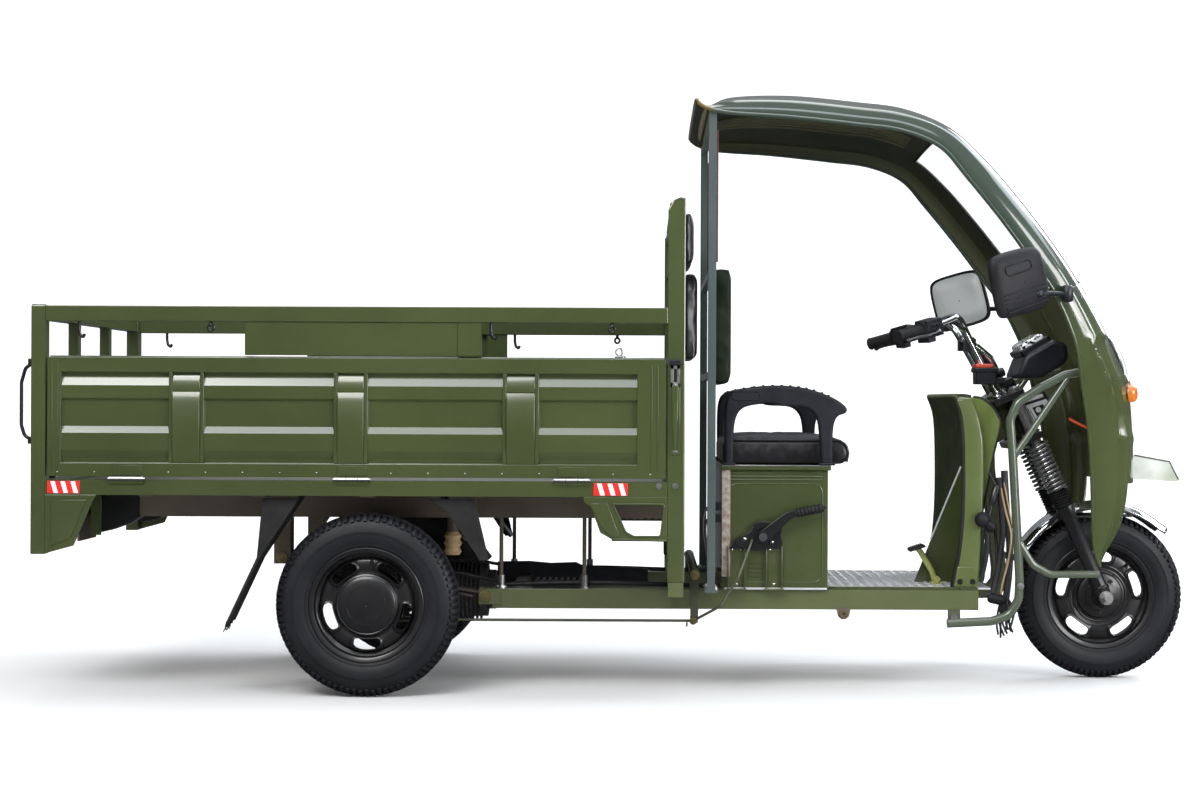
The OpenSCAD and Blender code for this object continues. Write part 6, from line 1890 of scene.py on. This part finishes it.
me = bpy.data.meshes.new("floor")
rows = []
for k in range(41):
    # flat, then a soft cove rising behind
    if k < 20:
        y, z = -14 + k * (20 / 20), 0.0
    else:
        a = (k - 20) / 20 * pi / 2
        y, z = 6 + 5 * sin(a), 5 - 5 * cos(a)
    rows.append((y, z - 0.0005))
rows.append((11, 16))
bmf = bmesh.new()
prev = None
for y, z in rows:
    a, c = bmf.verts.new((-22, y, z)), bmf.verts.new((22, y, z))
    if prev:
        bmf.faces.new((prev[0], prev[1], c, a))
    prev = (a, c)
bmf.to_mesh(me)
bmf.free()
floor = bpy.data.objects.new("floor", me)
SC.collection.objects.link(floor)
me.materials.append(floor_mat())
me.shade_smooth()
# the floor lights the vehicle from below but is kept out of its reflections, which stay dark as outdoors
floor.visible_glossy = False

w = bpy.data.worlds.new("studio")
SC.world = w
w.use_nodes = True
wn = w.node_tree
bg = wn.nodes["Background"]
bg.inputs["Color"].default_value = (0.92, 0.95, 1.0, 1)
# dim at the horizon and brighter overhead, as in a room with a white ceiling
wt = wn.nodes.new("ShaderNodeTexCoord")
ws = wn.nodes.new("ShaderNodeSeparateXYZ")
wn.links.new(wt.outputs["Generated"], ws.inputs[0])
wm = wn.nodes.new("ShaderNodeMapRange")
wm.inputs["From Min"].default_value, wm.inputs["From Max"].default_value = 0.0, 0.85
wm.inputs["To Min"].default_value, wm.inputs["To Max"].default_value = 0.10, 0.50
wn.links.new(ws.outputs["Z"], wm.inputs["Value"])
wn.links.new(wm.outputs[0], bg.inputs["Strength"])


def softbox(name, loc, target, size, power, color=(1, 1, 1)):
    L = bpy.data.lights.new(name, "AREA")
    L.shape = "RECTANGLE"
    L.size, L.size_y = size
    L.energy = power
    L.color = color
    o = bpy.data.objects.new(name, L)
    SC.collection.objects.link(o)
    o.location = loc
    o.rotation_euler = (V(target) - V(loc)).to_track_quat("-Z", "Y").to_euler()
    return o


softbox("key", (-2.2, -5.2, 4.6), (0.1, 0, 0.6), (3.4, 2.4), 250, (1.0, 0.98, 0.95))
softbox("top", (0.2, 0.6, 5.2), (0.0, 0, 0.5), (5.0, 3.0), 190, (0.97, 0.985, 1.0))
softbox("rim", (3.8, 3.6, 3.0), (0.6, 0, 0.8), (2.4, 2.0), 110, (0.95, 0.97, 1.0))
softbox("side", (4.6, -3.8, 2.0), (0.6, 0, 0.7), (2.0, 2.4), 140, (1.0, 1.0, 1.0))
softbox("low", (4.0, -4.3, 0.95), (1.2, 0, 0.6), (0.8, 1.5), 34, (1.0, 1.0, 1.0))
softbox("strip", (-0.3, -4.2, 5.4), (-0.3, 0, 0.8), (7.0, 1.4), 132, (0.88, 0.94, 1.0))
softbox("sky", (4.2, 1.0, 4.85), (1.2, -0.4, 1.25), (3.6, 3.0), 120, (0.86, 0.93, 1.0))
softbox("nose", (5.8, -1.75, 2.3), (1.4, -0.3, 0.8), (0.5, 2.6), 60, (0.95, 0.98, 1.0))

cam = bpy.data.cameras.new("camera")
cam.lens, cam.sensor_width = 61.5, 36.0
cam.shift_x = -0.0375
co = bpy.data.objects.new("camera", cam)
SC.collection.objects.link(co)
co.matrix_world = Matrix.Translation((0.0583, -6.3, 0.843)) @ Matrix.Rotation(math.radians(90), 4, "X") @ Matrix.Rotation(0.0045, 4, "Z")
SC.camera = co
SC.view_settings.view_transform = "Standard"
